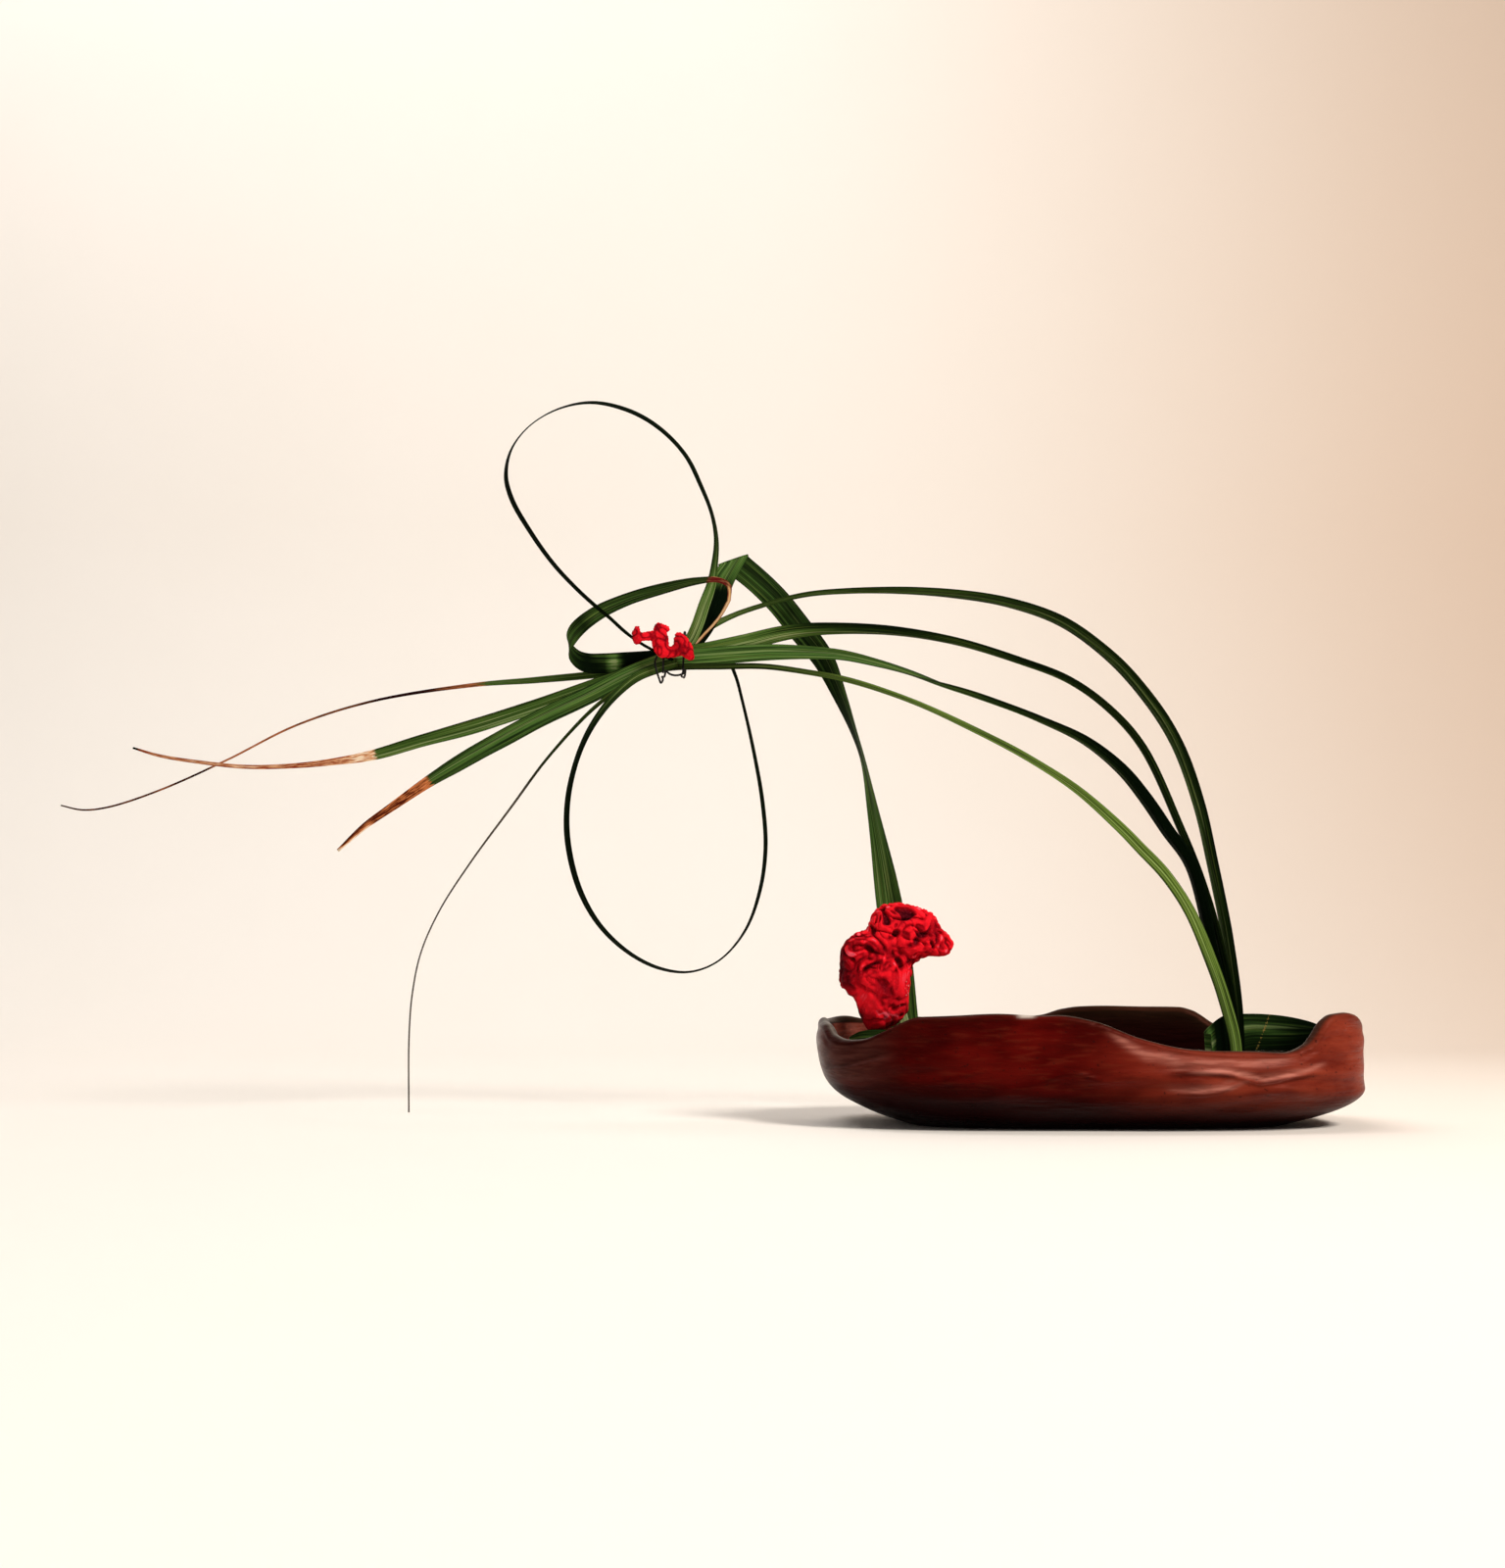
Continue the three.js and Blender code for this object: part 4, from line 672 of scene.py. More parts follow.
def leaf_material(name, look):
    """Parallel streaks between two greens, lightened and darkened by the painted light and shade of its
    tone rows, a pale vein, painted highlights, a dark margin, and a dry end of its own colours.
    """
    paint = Painter(name)
    across = paint.read("across")
    along = paint.read("along")

    def streaks(length, scale, detail):
        node = paint.nodes.new("ShaderNodeCombineXYZ")
        paint.plug(across, node.inputs[0])
        paint.plug(paint.times(along, length), node.inputs[1])
        return paint.noise(node.outputs[0], scale, detail)

    broad = streaks(0.0011, 4.2, 2)
    fine = streaks(0.0016, 11, 5)
    speckle = streaks(0.035, 3.2, 6)
    vary = paint.times(paint.spread(broad, 0.36, 0.64, 0.55, 1.3),
        paint.spread(fine, 0.36, 0.64, 0.55, 1.35))
    # The green's tone with its painted light and shade, varied by the streaks.
    light = paint.times(paint.read("tone"), vary)
    colour = paint.mix(paint.spread(light, 0, 1), DEEP_GREEN, GREENS[look["green"]])
    dry_streak = paint.times(paint.spread(fine, 0.54, 0.68, 0, 0.35), paint.spread(light, 0.1, 0.7))
    colour = paint.mix(dry_streak, colour, OLIVE, "LIGHTEN")
    place, strength = look["vein"]
    off = paint.calculate("ABSOLUTE", paint.calculate("SUBTRACT", across, place))
    vein = paint.times(paint.spread(off, 0.03, 0.16, 1, 0), paint.spread(light, 0.05, 0.7, 0, strength))
    colour = paint.mix(vein, colour, PALE_VEIN_AND_HIGHLIGHT)
    # Painted highlight: where the painted light runs above 0.9 the green goes pale.
    colour = paint.mix(paint.spread(light, 0.9, 1.6, 0, 0.5), colour, PALE_VEIN_AND_HIGHLIGHT)
    margin = paint.spread(paint.calculate("ABSOLUTE", across), 0.86, 1, 0, 0.5)
    colour = paint.mix(margin, colour, DEEP_GREEN)
    ragged = paint.plus(paint.read("dry"), paint.spread(fine, 0.3, 0.7, -0.3, 0.3))
    return paint.done({
        "Base Color": paint.mix(paint.spread(ragged, 0.42, 0.58), colour, dry_colour(paint, look, speckle)),
        "Roughness": paint.spread(fine, 0.2, 0.8, 0.4, 0.58),
        "Specular IOR Level": 0.01,
        "Specular Tint": (0.7, 1, 0.5, 1),
        "Normal": paint.bump(paint.plus(fine, broad), 0.0004),
    })


def glaze_material():
    """Mottled oxblood glaze, brighter and redder to the right as painted light and darker to the left as
    painted shade, thin and dark on the lip, nearly black inside and low down as painted shade, with painted
    highlights in its lit bands.
    """
    paint = Painter("oxblood_glaze")
    clouds = paint.grain(24, 9, (1, 1, 1.5))
    runs = paint.grain(60, 5, (0.5, 0.5, 2.6))
    brushes = paint.grain(210, 4, (0.3, 0.3, 2))
    wrinkles = paint.grain(55, 3, (0.22, 0.22, 1.6))
    specks = paint.grain(420, 2)
    brushed = paint.plus(paint.times(clouds, 0.65), paint.times(runs, 0.35))
    # Painted side light and shade: brighter and redder to the right, darker to the left.
    painted_side_shading = paint.read("painted_side_shading")
    dark = paint.mix(painted_side_shading, *GLAZE_DARK)
    light = paint.mix(painted_side_shading, *GLAZE_LIGHT)
    colour = paint.mix(paint.spread(brushed, 0.34, 0.64), dark, light)
    colour = paint.mix(paint.spread(brushes, 0.5, 0.7, 0, 0.1), colour, GLAZE_BRUSH)
    colour = paint.mix(paint.spread(specks, 0.66, 0.72, 0, 0.7), colour, GLAZE_SPECK)
    lit = paint.times(paint.read("lit"), paint.spread(brushes, 0.38, 0.6, 0.6, 1.15))
    colour = paint.mix(lit, colour, GLAZE_LIT)
    # Painted shade, the lip's dark glaze and the pale lip marks, laid over the glaze.
    for name, overlay in OVERLAID_COLOURS.items():
        colour = paint.mix(paint.read(name), colour, overlay)
    heights = paint.plus(paint.times(wrinkles, 3.5), paint.plus(brushes, runs))
    return paint.done({
        "Base Color": colour,
        "Roughness": paint.spread(runs, 0.3, 0.7, 0.27, 0.4),
        "Specular IOR Level": 0.05,
        "Specular Tint": (1, 0.3, 0.22, 1),
        "Normal": paint.bump(heights, 0.0009, 0.7),
    })


def crest_material():
    """Velvet of the cockscomb: bright on the crests, nearly black in the crevices as painted shade, with
    painted pink highlights.
    """
    paint = Painter("cockscomb_velvet")
    fuzz = paint.grain(900, 2)
    level = paint.plus(paint.read("crest"), paint.spread(paint.grain(60, 2), 0.3, 0.7, -0.15, 0.12))
    colour = paint.mix(paint.spread(level, 0, 0.55), CREVICE_RED, DEEP_RED)
    colour = paint.mix(paint.spread(level, 0.45, 1), colour, CREST_RED)
    colour = paint.mix(paint.spread(level, 1.1, 1.6, 0, 0.8), colour, GLINT_PINK)
    return paint.done({
        "Base Color": paint.mix(paint.spread(fuzz, 0.52, 0.75, 0, 0.12), colour, FUZZ_PINK),
        "Roughness": 0.72,
        "Specular IOR Level": 0.03,
        "Sheen Weight": 0.03,
        "Sheen Roughness": 0.3,
        "Sheen Tint": (1, 0.1, 0.2, 1),
        "Normal": paint.bump(fuzz, 0.0004, 0.7),
    })


def mottled(name, grain, edges, colours, roughness, more):
    """A material of two colours mixed by a noise, which varies the roughness too if it is a pair."""
    paint = Painter(name)
    patch = paint.grain(*grain)
    if isinstance(roughness, tuple):
        roughness = paint.spread(patch, 0.3, 0.7, *roughness)
    colour = paint.mix(paint.spread(patch, *edges), *colours)
    return paint.done({"Base Color": colour, "Roughness": roughness, **more})


def stem_material():
    return mottled("ribbed_stem", (240, 3, (1, 1, 0.08)), (0.35, 0.65), STEM_GREENS, (0.45, 0.6), {})


def bract_material():
    return mottled("dry_bracts", (500, 2), (0.4, 0.6), BRACT_PINKS, 0.6, {})


def brass_material():
    return mottled("dull_brass", (120, 4), (0.35, 0.65), BRASS, (0.3, 0.5), {"Metallic": 1})


def wire_material():
    return mottled("black_wire", (700, 2), (0.4, 0.7), WIRE_BLACKS, 0.5, {"Specular IOR Level": 0.1})


def water_material():
    paint = Painter("still_water")
    return paint.done({
        "Base Color": WATER_TINT,
        "Roughness": 0.02,
        "IOR": 1.33,
        "Transmission Weight": 1,
        "Normal": paint.bump(paint.grain(40, 1), 0.005),
    })


def paper_material():
    """Pale paper, darker and warmer to the right as painted shade."""
    paint = Painter("pale_paper")
    place = paint.nodes.new("ShaderNodeSeparateXYZ")
    paint.plug(paint.place(), place.inputs[0])
    pale = paint.mix(paint.grain(3, 2), *PAPER)
    # Painted shade: the paper goes darker and warmer to the right.
    painted_side_shading = paint.spread(place.outputs["X"], -0.3, 1.35)
    return paint.done({"Base Color": paint.mix(painted_side_shading, pale, PAPER_RIGHT), "Roughness": 0.9})


# Leaves

FACING = np.array([0, 1, 0.0])
UPRIGHT = np.array([0, 0, 1.0])
ROUTE_COLUMNS = 7


def turned(vectors, axes, degrees):
    angle = np.radians(degrees)[:, None]
    lengthwise = axes * np.sum(axes * vectors, axis=1, keepdims=True) * (1 - np.cos(angle))
    return vectors * np.cos(angle) + np.cross(axes, vectors) * np.sin(angle) + lengthwise


def blade(route, reference=FACING, first_row=0):
    """The stations of a blade: their centres, the way it runs, half its width and its keel's depth."""
    rows = curve_stations([row + [0] * (ROUTE_COLUMNS - len(row)) for row in route])
    centre = rows[:, :3]
    width, turn, keel, hold, row = rows[:, 3:].T
    along = unit(np.gradient(centre, axis=0))
    if reference is FACING:
        level = unit(np.cross(FACING, along))
    else:
        level = unit(UPRIGHT - along * (along @ UPRIGHT)[:, None])
    half = turned(level, along, turn) * width[:, None] / 2
    half = half * (1 - hold[:, None]) + CREASE_HALF * hold[:, None]
    return dict(centre=centre, along=along, half=half, keel=keel / 100 * width, row=row + first_row)


def crease():
    """The leaf's turn over its crease, between the rising and the falling stretch."""
    x, y, z = FOLDED_RISING[-1][:3]
    over = np.cross(CREASE_HALF, FACING)
    over = unit(over if over[2] > 0 else -over)
    angle = np.radians(CREASE_TURNS)[:, None]
    outward = over * np.sin(angle) + FACING * np.cos(angle)
    centre = np.array([x, y - CREASE_RADIUS, z]) + CREASE_RADIUS * outward
    along = over * np.cos(angle) - FACING * np.sin(angle)
    half = np.repeat(CREASE_HALF[None], len(angle), axis=0)
    row = np.full(len(angle), len(FOLDED_RISING) - 0.5)
    return dict(centre=centre, along=along, half=half, keel=np.zeros(len(angle)), row=row)


def folded_blade():
    """The folded leaf: it rises, turns over its crease, falls, and runs on in a flat loop to its tip."""
    parts = [blade(FOLDED_RISING), crease()]
    first_row = len(FOLDED_RISING)
    for route, reference in ((FOLDED_FALLING, FACING), (FOLDED_LOOP, UPRIGHT), (FOLDED_TIP, FACING)):
        stretch = blade(route, reference, first_row)
        if first_row > len(FOLDED_RISING):
            stretch = {key: values[1:] for key, values in stretch.items()}
        parts.append(stretch)
        first_row += len(route) - 1
    return {key: np.concatenate([part[key] for part in parts]) for key in parts[0]}


def collar_blade(route):
    """The stations of a leaf that stands on edge."""
    middles = [[x, y, (low + high) / 2, high - low, lean] for x, low, high, y, lean in route]
    rows = curve_stations(middles, 1)
    centre = rows[:, :3]
    width, lean, row = rows[:, 3:].T
    level = unit(np.gradient(centre, axis=0) * [1, 1, 0])
    up = turned(np.repeat(UPRIGHT[None], len(rows), axis=0), level, lean)
    return dict(centre=centre, along=level, half=up * width[:, None] / 2, keel=COLLAR_KEEL * width, row=row)


def leaf_stations(look):
    if "route" in look:
        return blade(look["route"])
    if "collar" in look:
        return collar_blade(look["collar"])
    return folded_blade()


def banded(row, across, table):
    """Numbers, given in hundredths, that go across the blade from one edge over the middle to the
    other, row by row."""
    table = np.array([line if len(line) > 2 else (*line, *line[1:] * 2) for line in table], float)
    lower, middle, upper = (np.interp(row, table[:, 0], column / 100) for column in table.T[1:])
    return middle + (np.where(across < 0, lower, upper) - middle) * np.abs(across)


def dry_share(row, across, look):
    """How dry the blade is, at its end and along its scar."""
    start, fade = look.get("dry", (1e3, 1))
    dry = np.clip((row - start) / fade + 0.5, 0, 1)
    if "scar" in look:
        low, high = look["scar"]
        away = row - (low + (high - low) * (across + 1) / 2)
        dry = np.maximum(dry, 0.65 * bell(away, SCAR_HALF_WIDTH))
    return dry


def uneven_reach(t, distance, width, seed):
    """How far out the points across the blade lie, from -1 to 1, with slightly uneven edges."""
    line = np.stack([distance, np.full_like(distance, 40.0 * seed), np.zeros_like(distance)], axis=1)
    uneven = np.stack([waves(line, 37, seed), waves(line, 53, seed + 50)], axis=1)
    uneven *= np.minimum(0.012 * width, 0.16)[:, None]
    return t * (1 + np.where(t > 0, uneven[:, :1], uneven[:, 1:]) / np.maximum(width, 1)[:, None])


def blade_mesh(name, leaf, look, seed):
    """A closed blade with a soft keel, a thin margin and slightly uneven edges."""
    t = np.sin(np.linspace(-math.pi / 2, math.pi / 2, COLUMNS))
    steps = np.linalg.norm(np.diff(leaf["centre"], axis=0), axis=1)
    distance = np.concatenate([[0], np.cumsum(steps)])
    width = 2 * np.linalg.norm(leaf["half"], axis=1)
    normal = unit(np.cross(leaf["half"], leaf["along"]))[:, None]
    soft = KEEL_SOFTNESS
    fold = (math.hypot(1, soft) - np.hypot(t, soft)) / (math.hypot(1, soft) - soft)
    half_thick = np.minimum(look.get("thickness", BLADE), 0.45 * width) / 2
    thick = normal * (half_thick[:, None] * (1 - THIN_EDGE * t**4))[..., None]
    reach = uneven_reach(t[None], distance, width, seed)
    middle = leaf["centre"][:, None] + leaf["half"][:, None] * reach[..., None]
    middle = middle - normal * (leaf["keel"][:, None] * fold[None])[..., None]
    mesh = make_mesh(name, *skin(np.concatenate([middle + thick, (middle - thick)[:, ::-1]], axis=1)))

    across = np.tile(np.concatenate([t, t[::-1]]), len(distance))
    row = np.repeat(leaf["row"], 2 * COLUMNS)
    values = dict(
        across=across,
        along=np.repeat(distance, 2 * COLUMNS) + 900 * seed,
        # The tone rows: the green's lightness with painted light and shade.
        tone=banded(row, across, look["tones"]),
        dry=dry_share(row, across, look),
        rusty=banded(row, across, look.get("dry_tones", [(0, 30)])),
    )
    add_values(mesh, {key: np.append(numbers, numbers[[0, -1]]) for key, numbers in values.items()})
    return mesh


def make_leaves():
    for seed, (name, look) in enumerate(LOOKS.items(), 1):
        mesh = blade_mesh(name + "_blade", leaf_stations(look), look, seed)
        place_piece(name + "_blade", mesh, leaf_material(name + "_skin", look), look["green"], name)


# Bowl

def oval_stations(count):
    """Even stations round the bowl's outline, on an oval of half length 1 and half width 1."""
    angle = np.linspace(0, 2 * math.pi, 6001)
    power = 2 / BOWL_SQUARENESS
    u = np.sign(np.cos(angle)) * np.abs(np.cos(angle)) ** power
    v = np.sign(np.sin(angle)) * np.abs(np.sin(angle)) ** power
    steps = np.hypot(np.diff(u) * BOWL_LEFT, np.diff(v) * BOWL_HALF_WIDTH)
    length = np.concatenate([[0], np.cumsum(steps)])
    wanted = length[-1] * np.arange(count) / count
    return np.interp(wanted, length, u), np.interp(wanted, length, v)


def half_length(u):
    return np.where(u < 0, BOWL_LEFT, BOWL_RIGHT)


def lip_height(u, v):
    x = u * half_length(u)
    return np.where(v < 0, soft_curve(FRONT_LIP, x), soft_curve(BACK_LIP, x))


def tuck(u, z):
    """How far the outside of the wall stands in at a height, from 0 at the belly to 1 at the foot."""
    right = (1 + u) / 2
    height = BELLY_LEFT[0] + (BELLY_RIGHT[0] - BELLY_LEFT[0]) * right
    power = BELLY_LEFT[1] + (BELLY_RIGHT[1] - BELLY_LEFT[1]) * right
    return np.maximum(0, 1 - z / height) ** power


def over_line(line, x, z, fade):
    """How far points lie over a drawn line, and how much of it is there, as it fades at both ends."""
    places, heights = np.array(line, float).T
    outside, inside = fade
    begin = smoothstep(places[0] - outside, places[0] + inside, x)
    end = 1 - smoothstep(places[-1] - inside, places[-1] + outside, x)
    return z - np.interp(x, places, heights), begin * end


def fold_depth(u, v, z):
    """Depth of the soft folds, as in the solid."""
    x = u * half_length(u)
    depth = np.zeros_like(z)
    for folds, near in ((FRONT_FOLDS, v < 0), (BACK_FOLDS, v >= 0)):
        for begin, end, height, slope, full in folds:
            line = height + slope * (x - (begin + end) / 2) + 1.5 * np.sin(x / 13)
            reach = np.sin(math.pi * np.clip((x - begin) / (end - begin), 0, 1))
            off = (z - line) / FOLD_HALF_HEIGHT
            depth += near * full * reach * (bell(off) - 0.6 * bell(off + 1.7))
    return depth * np.minimum(1, np.abs(v) * 1.6)


def crease_depth(u, v, z):
    """Sharper creases in the front: a narrow valley with a rounded crest above it."""
    depth = np.zeros_like(z)
    for line, full in CREASES:
        off, share = over_line(line, u * half_length(u), z, CREASE_FADE)
        depth += full * share * (bell(off, 1.5) - 0.8 * bell(off - 3.6, 2.6))
    return depth * (v < 0) * np.minimum(1, np.abs(v) * 1.6)


def pit_depth(u, v, z):
    x = u * half_length(u)
    depth = np.zeros_like(z)
    for px, pz, radius in PITS:
        depth += 0.7 * radius * bell(np.hypot(x - px, z - pz), radius)
    return depth * (v < 0)


def wall_point(u, v, length_inset, width_inset, z):
    x = u * (half_length(u) - length_inset)
    y = v * (BOWL_HALF_WIDTH - width_inset)
    return np.stack(np.broadcast_arrays(x, y, z), axis=-1)


def outer_rings(u, v):
    """The outside of the wall, from the foot to the lip, with its folds, creases and pits."""
    share = np.linspace(0, 1, WALL_RINGS)[:, None]
    z = share * (lip_height(u, v) - BOWL_WALL / 2)
    inward = tuck(u, z)
    place = wall_point(u, v, 0, 0, z)
    ripple = 0.35 * waves(place, 15, 5, stretch=(4, 4, 1))
    ripple += 0.3 * waves(place, 30, 6, stretch=(2.5, 2.5, 1))
    dent = fold_depth(u, v, z) + crease_depth(u, v, z) + pit_depth(u, v, z) + ripple
    dent = dent * (1 - smoothstep(0.9, 1, share)) * smoothstep(0, 6, z)
    length_inset = (half_length(u) - FOOT_HALF_LENGTH) * inward - dent
    return wall_point(u, v, length_inset, FOOT_INSET_WIDTH * inward - dent, z)


def lip_rings(u, v):
    """The round lip between the outside and the inside, slightly uneven in height."""
    lip = BOWL_WALL / 2
    angle = np.linspace(0, math.pi, LIP_RINGS)[1:-1, None]
    inward = lip * (1 - np.cos(angle))
    uneven = 0.5 * waves(wall_point(u, v, 0, 0, lip_height(u, v)), 45, 8)
    z = lip_height(u, v) - lip + (lip + uneven) * np.sin(angle)
    return wall_point(u, v, inward, inward, z)


def inner_wall(u, v, z, extra=0.0):
    inward = INNER_TUCK * tuck(u, np.maximum(0, z - BOWL_FLOOR + 2))
    length_inset = BOWL_WALL + extra + (half_length(u) - FOOT_HALF_LENGTH) * inward
    return wall_point(u, v, length_inset, BOWL_WALL + extra + FOOT_INSET_WIDTH * inward, z)


def inner_rings(u, v):
    share = np.linspace(1, 0, INSIDE_RINGS)[:, None] ** 1.3
    return inner_wall(u, v, BOWL_FLOOR + share * (lip_height(u, v) - BOWL_WALL / 2 - BOWL_FLOOR))


def left_end(ring):
    return 1 - smoothstep(-160, -120, ring[..., 0])


def lip_values(u, v, outer, lip_share, inner):
    """Where the glaze is thin and dark: a line under the lip, its top, and the upper inside."""
    below = lip_height(u, v) - outer[..., 2]
    line = 0.15 * np.exp(-np.maximum(0, below - BOWL_WALL / 2) / 0.5)
    top = 0.15 + 0.75 * smoothstep(0.2, 0.45, lip_share)
    inside = 0.8 * np.exp(-np.linspace(0, 9, len(inner)))[:, None] * (1 - left_end(inner))
    return line, top, inside


def shade_values(u, v, outer, lip, inner):
    """Painted shade, which makes the glaze nearly black: low down, in the creases, to the left and inside.
    """
    x, z = outer[..., 0], outer[..., 2]
    low = 0.97 * (1 - smoothstep(6, 38, z + 0.07 * np.minimum(x, 30)))
    creased = 0.5 * np.clip(crease_depth(u, v, z), 0, 1)
    left, lip_left = (0.7 * (1 - smoothstep(-180, -60, ring[..., 0])) for ring in (outer, lip))
    inside = 0.5 + 0.45 * smoothstep(-120, -40, inner[..., 0]) - 0.45 * left_end(inner)
    return np.maximum.reduce([low, creased, left]), lip_left, inside


def lit_values(u, v, outer, inner):
    """Where the glaze catches the light: above the creases, in the lit bands and at the left end."""
    x, z = outer[..., 0], outer[..., 2]
    lit = 0.3 * np.clip(-crease_depth(u, v, z), 0, 1) * smoothstep(-20, 60, x)
    for line, half_width, strength in LIT_BANDS:
        off, share = over_line(line, x, z, LIT_FADE)
        lit = np.maximum(lit, strength * share * bell(off, half_width) * (v < 0))
    left_sheen = (1 - smoothstep(-172, -128, x)) * smoothstep(20, 38, z) * (v < 0.3)
    return np.maximum(lit, 0.26 * left_sheen), 0, 0.3 * left_end(inner)


def pale_lip_values(lip, lip_share):
    """Where the lip is pale: its clay in the chip, and a faint painted highlight along its left front."""
    x, z, radius = CHIP
    front = lip[..., 1] < 0
    pale_lip = 0.9 * np.exp(-(((lip[..., 0] - x) / radius) ** 4)) * smoothstep(z - 1, z + 1, lip[..., 2])
    # A faint painted highlight along the lip's left front, in the pale clay colour.
    painted_highlight = bell(lip_share - 0.52, 0.1) * (1 - smoothstep(-158, -140, lip[..., 0]))
    return 0, front * np.maximum(pale_lip, 0.2 * painted_highlight), 0


def make_bowl():
    u, v = oval_stations(BOWL_SIDES)
    outer, lip, inner = rings = outer_rings(u, v), lip_rings(u, v), inner_rings(u, v)
    mesh = make_mesh("bowl_glazed", *skin(np.concatenate(rings)))
    lip_share = np.linspace(0, 1, LIP_RINGS)[1:-1, None]
    # Painted side light and shade: brighter and redder to the right on the outside and lip, and on the
    # inside at the left end.
    painted_side_shading = [smoothstep(-40, 90, ring[..., 0]) for ring in (outer, lip)]
    values = dict(
        lip=lip_values(u, v, outer, lip_share, inner),
        shade=shade_values(u, v, outer, lip, inner),
        painted_side_shading=(*painted_side_shading, 0.1 + 0.9 * left_end(inner)),
        lit=lit_values(u, v, outer, inner),
        pale_lip=pale_lip_values(lip, lip_share),
    )
    for name, parts in values.items():
        full = [np.broadcast_to(part, ring.shape[:2]).ravel() for part, ring in zip(parts, rings)]
        add_values(mesh, {name: np.concatenate([*full, (0.9, 0.9)])})
    place_piece("bowl_glazed", mesh, glaze_material(), "bowl_glaze", "bowl")


def make_water():
    u, v = oval_stations(WATER_SIDES)
    rings = [inner_wall(u, v, z, inset) for z, inset in WATER_RINGS]
    mesh = make_mesh("water_body", *skin(np.array(rings)))
    place_piece("water_body", mesh, water_material(), "water", "water")


# Pin holders

def round_rings(profile, sides):
    """Rings of a round body, from [radius, height] points of its profile."""
    angle = np.linspace(0, 2 * math.pi, sides, endpoint=False)
    return np.array([[(r * math.cos(a), r * math.sin(a), z) for a in angle] for r, z in profile])


def pin_places():
    """Where the pins stand on a holder, in rows that are set off by half a pitch."""
    rows = int(HOLDER_RADIUS / ROW_PITCH)
    for r in range(-rows, rows + 1):
        for c in range(-rows - 1, rows + 2):
            x = (c + (0.5 if r % 2 else 0)) * PIN_PITCH
            y = r * ROW_PITCH
            if math.hypot(x, y) < HOLDER_RADIUS - PIN_MARGIN:
                yield x, y


def make_holders():
    material = brass_material()
    low = BOWL_FLOOR + GAP
    inset = HOLDER_RADIUS - HOLDER_EDGE
    base = [(inset, low), (HOLDER_RADIUS, low + HOLDER_EDGE), (HOLDER_RADIUS, HOLDER_TOP - HOLDER_EDGE),
        (inset, HOLDER_TOP)]
    pin = [(PIN_RADIUS, -1), (PIN_RADIUS, PIN_HEIGHT - 4), (PIN_RADIUS * 0.6, PIN_HEIGHT - 1.6),
        (0.06, PIN_HEIGHT)]
    base_rings = round_rings(base, HOLDER_SIDES)
    pin_rings = round_rings(pin, PIN_SIDES)
    for name, (x, y) in HOLDERS.items():
        pins = [skin(pin_rings + [x + dx, y + dy, HOLDER_TOP]) for dx, dy in pin_places()]
        mesh = make_mesh(name + "_brass", *merged([skin(base_rings + [x, y, 0]), *pins]))
        mesh.set_sharp_from_angle(angle=math.radians(35))
        place_piece(name + "_brass", mesh, material, "pins", name)


# Cockscomb

def ball(subdivisions):
    """Points and faces of a round ball of radius 1."""
    bpy.ops.mesh.primitive_ico_sphere_add(subdivisions=subdivisions, radius=1)
    made = bpy.context.object
    points = np.array([v.co for v in made.data.vertices])
    faces = [list(face.vertices) for face in made.data.polygons]
    mesh = made.data
    bpy.data.objects.remove(made)
    bpy.data.meshes.remove(mesh)
    return unit(points), faces


def head_form(directions):
    """The smooth form of the head, flat from front to back, with the outline of its crest."""
    x, y, z = directions.T
    flat = np.maximum(np.hypot(x, z), 1e-6)
    degrees = np.degrees(np.arctan2(z, x)) % 360
    reach = soft_curve([*HEAD_OUTLINE, (360, HEAD_OUTLINE[0][1])], degrees)
    out = reach * flat**0.75 / flat
    deep = np.sign(y) * np.abs(y) ** 0.9 * HEAD_HALF_DEPTH
    return np.stack([x * out, deep, z * out], axis=-1)


def crest_folds(form, bent):
    """The folds of the crest, each as its depth, how much painted shade darkens it and where it lies:
    crevices, wrinkles, hollows and dimples, which are all weaker near the bottom."""
    upper = 0.35 + 0.65 * smoothstep(-32, -12, form[:, 2])
    return (
        (2.2, 0.4, upper * bell(waves(bent, 17, 21), 0.38)),
        (0.9, 0.3, upper * bell(waves(bent, 8.5, 22), 0.5)),
        (3.2, 0.85, upper * smoothstep(0.75, 1.7, waves(bent, 12.5, 24))),
        (1.4, 0.5, upper * smoothstep(0.8, 1.8, waves(bent, 7, 27))),
    )


def make_head(material):
    directions, faces = ball(HEAD_DIVISIONS)
    form = head_form(directions)
    x, _, z = form.T
    bent = form + np.stack([waves(form, 20, seed) for seed in (11, 12, 13)], axis=-1) * 2.2
    lumps = waves(form, 5, 23)
    sink = 0.5 - 0.2 * lumps
    shaded = 1
    # Each fold sinks the surface and darkens it with painted shade.
    for depth, painted_shade_strength, share in crest_folds(form, bent):
        sink = sink + depth * share
        shaded = shaded * (1 - painted_shade_strength * share)
    normals = unit(form * [1 / 40**2, 1 / HEAD_HALF_DEPTH**2, 1 / 40**2])
    mesh = make_mesh("cockscomb_crest", form - normals * sink[:, None] + np.array(HEAD_CENTRE), faces)
    # Painted light on the crest: side darkens its left as painted shade from a light on the right, and
    # glints are painted pink highlights.
    side = 0.42 + 0.55 * smoothstep(-38, -10, x + 0.25 * z) + 0.14 * waves(form, 24, 25)
    glints = (0.2 + 0.6 * smoothstep(-20, -8, z)) * smoothstep(0.9, 1.7, waves(bent, 9, 26))
    skirt = bell(z + 45.5 + 0.2 * x - 1.2 * lumps, 2) * smoothstep(-14, -4, x)
    add_values(mesh, dict(crest=np.clip(shaded * (side + glints) + 0.65 * skirt, 0, 2)))
    place_piece("cockscomb_crest", mesh, material, "crest", "cockscomb_head")


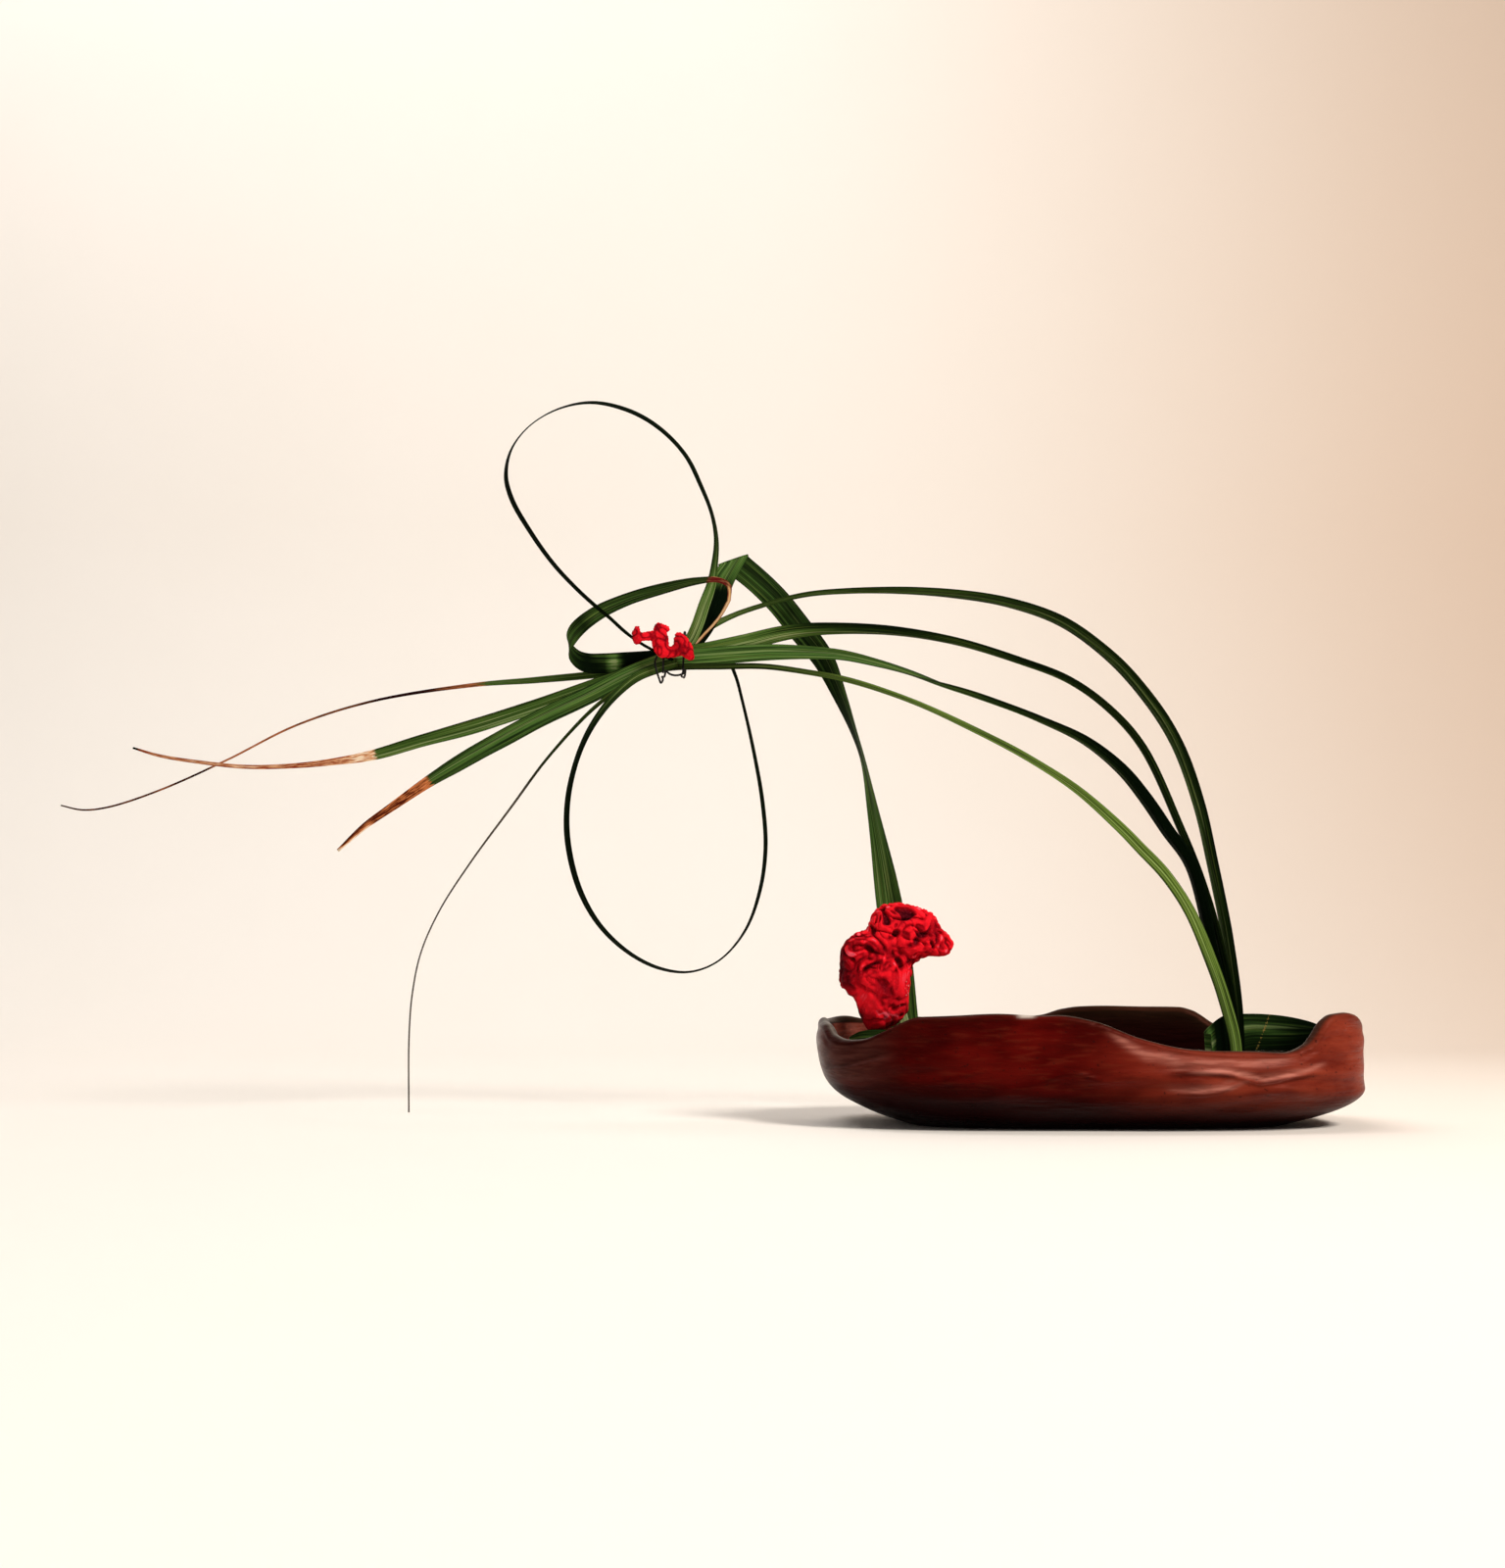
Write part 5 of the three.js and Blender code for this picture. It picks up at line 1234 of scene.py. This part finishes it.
def tube_rings(path, radius, sides):
    """Rings round a path, turned as little as they can be from one to the next."""
    along = unit(np.gradient(path, axis=0))
    across = unit(np.cross(along[0], [0.3, 0.5, 0.8]))
    angle = np.linspace(0, 2 * math.pi, sides, endpoint=False)
    radius = np.broadcast_to(radius, (len(path),))
    rings = []
    for place, way, size in zip(path, along, radius):
        across = unit(across - way * (across @ way))
        other = np.cross(way, across)
        rings.append(place + size * (np.cos(angle)[:, None] * across + np.sin(angle)[:, None] * other))
    return np.array(rings)


def make_stem():
    x, y, z = HEAD_CENTRE
    foot = np.array([*STEM_FOOT, ROOT])
    bend = np.array([*STEM_FOOT, 50])
    top = np.array([x + 4, y, z - 36])
    t = np.linspace(0, 1, STEM_RINGS)[:, None]
    path = (1 - t) ** 2 * foot + 2 * t * (1 - t) * bend + t**2 * top
    rings = tube_rings(path, STEM_RADIUS, STEM_SIDES)
    ribs = 1 + 0.05 * np.cos(np.arange(STEM_SIDES) * 2 * math.pi * STEM_RIBS / STEM_SIDES)
    rings = path[:, None] + (rings - path[:, None]) * ribs[None, :, None]
    mesh = make_mesh("cockscomb_stalk", *skin(rings))
    place_piece("cockscomb_stalk", mesh, stem_material(), "stem", "cockscomb_stem")


def make_sprig(material):
    """The scrap of flower in the tie: its strokes melted into one form, and then folded."""
    points, faces = ball(3)
    skins = []
    for stroke in SPRIG_STROKES:
        for row in curve_stations(stroke, 0.9):
            skins.append((points * row[3] * np.array([1, 0.62, 1]) + row[:3], faces))
    form = add_object("sprig_form", make_mesh("sprig_form", *merged(skins)))
    remesh = form.modifiers.new("Remesh", "REMESH")
    remesh.mode = "VOXEL"
    remesh.voxel_size = SPRIG_VOXEL * MM
    smooth = form.modifiers.new("Smooth", "SMOOTH")
    smooth.iterations = 6
    shown = bpy.data.meshes.new_from_object(form.evaluated_get(bpy.context.evaluated_depsgraph_get()))
    bpy.data.objects.remove(form)
    places = np.array([v.co for v in shown.vertices]) / MM
    normals = np.array([v.normal for v in shown.vertices])
    folds = 1 - bell(waves(places, 7, 31), 0.4)
    places += normals * (0.5 * folds + 0.1 * waves(places, 1.6, 32))[:, None] - normals * 0.3
    shown.vertices.foreach_set("co", (places * MM).ravel())
    shown.shade_smooth()
    # Painted shade: the sprig is darker along its sunken fold lines.
    add_values(shown, dict(crest=0.3 + 0.5 * folds))
    place_piece("cockscomb_scrap", shown, material, "crest", "cockscomb_sprig")


def make_bracts():
    """Pale dry scales and loose florets under the crest, on its lower right side."""
    draw = np.random.default_rng(41)
    skins = []
    for _ in range(BRACTS):
        angle = math.radians(draw.uniform(248, 300))
        depth = draw.uniform(-0.75, 0.25)
        flat = math.sqrt(1 - depth**2)
        direction = np.array([[flat * math.cos(angle), depth, flat * math.sin(angle)]])
        root = head_form(direction)[0] * 0.93
        way = unit(root * [1, 1.5, 1] + draw.normal(size=3) * 6)
        length = draw.uniform(1.0, 2.0)
        path = root + way * np.linspace(-1.2, length, len(BRACT_RADII))[:, None] + np.array(HEAD_CENTRE)
        skins.append(skin(tube_rings(path, BRACT_RADII, 6)))
    mesh = make_mesh("cockscomb_bracts", *merged(skins))
    place_piece("cockscomb_bracts", mesh, bract_material(), "crest")


# Tie wire

def make_wires():
    """Two turns round the stack of blades, which run on into their hanging loops."""
    material = wire_material()
    front = TIE - 6 * STEP - GAP
    for name, wire in WIRES.items():
        x, top, back = wire["x"], wire["top"], wire["back"]
        middle = (front + back) / 2
        turn = [
            (x, front + 1, 300), (x, front, 304), (x + 0.3, front, 311), (x + 0.6, front, top - 5),
            (x + 0.8, front + 2, top - 1), (x + 1, middle, top), (x + 1, back - 2, top - 1),
            (x + 1, back, top - 5), (x + 1, back, 311), (x + 1, back, 304), (x + 0.4, back - 2, 299.5),
            (x - 0.4, middle, 298.5),
        ]
        path = curve_stations([*turn, *wire["hanging"]], 0.6)[:, :3]
        mesh = make_mesh(name + "_strand", *skin(tube_rings(path, WIRE_RADIUS, WIRE_SIDES)))
        place_piece(name + "_strand", mesh, material, "wire", name)


# Stage, light and camera

def make_stage():
    """A pale floor that curves up into a backdrop."""
    profile = [(FLOOR_FRONT, 0), (FLOOR_BACK, 0)]
    for a in np.linspace(0.1, math.pi / 2, 16):
        profile.append((FLOOR_BACK + BACKDROP_BEND * math.sin(a), BACKDROP_BEND * (1 - math.cos(a))))
    profile.append((FLOOR_BACK + BACKDROP_BEND, BACKDROP_TOP))
    points = [(x, y, z) for y, z in profile for x in FLOOR_SIDES]
    faces = [(2 * i, 2 * i + 1, 2 * i + 3, 2 * i + 2) for i in range(len(profile) - 1)]
    mesh = bpy.data.meshes.new("backdrop")
    mesh.from_pydata(points, [], faces)
    mesh.shade_smooth()
    mesh.materials.append(paper_material())
    add_object("backdrop", mesh)


def add_light(name, place, target, size, power, colour):
    light = bpy.data.lights.new(name, "AREA")
    light.shape = "RECTANGLE"
    light.size, light.size_y = size
    light.energy = power
    light.color = colour
    lamp = add_object(name, light)
    lamp.location = place
    way = np.array(target, float) - np.array(place, float)
    tilt = math.acos(-way[2] / np.linalg.norm(way))
    lamp.rotation_euler = (tilt, 0, math.atan2(way[1], way[0]) - math.pi / 2)


def make_light():
    add_light("key", (1.5, -1.6, 2.0), (-0.2, 0, 0.15), (0.8, 0.8), 84, (1, 0.95, 0.88))
    add_light("fill", (-2.4, -1.8, 1.4), (-0.2, 0, 0.2), (2.2, 1.8), 4, (1, 0.97, 0.94))
    add_light("wall", (-1.4, 0.5, 3.4), (-1.0, 1.9, 0.5), (3.0, 1.0), 55, (1, 0.98, 0.96))
    world = bpy.data.worlds.new("soft_room")
    world.use_nodes = True
    world.node_tree.nodes["Background"].inputs["Color"].default_value = (1, 0.96, 0.91, 1)
    world.node_tree.nodes["Background"].inputs["Strength"].default_value = 0.11
    bpy.context.scene.world = world
    bpy.context.scene.view_settings.view_transform = "Standard"


def make_camera():
    lens = bpy.data.cameras.new("camera")
    lens.lens = CAMERA_LENS
    lens.sensor_width = CAMERA_SENSOR
    camera = add_object("camera", lens)
    camera.location = CAMERA_PLACE
    camera.rotation_euler = (math.radians(90 + CAMERA_PITCH), 0, 0)
    bpy.context.scene.camera = camera


make_camera()
make_stage()
make_light()
make_bowl()
make_water()
make_holders()
make_leaves()
velvet = crest_material()
make_head(velvet)
make_stem()
make_sprig(velvet)
make_bracts()
make_wires()
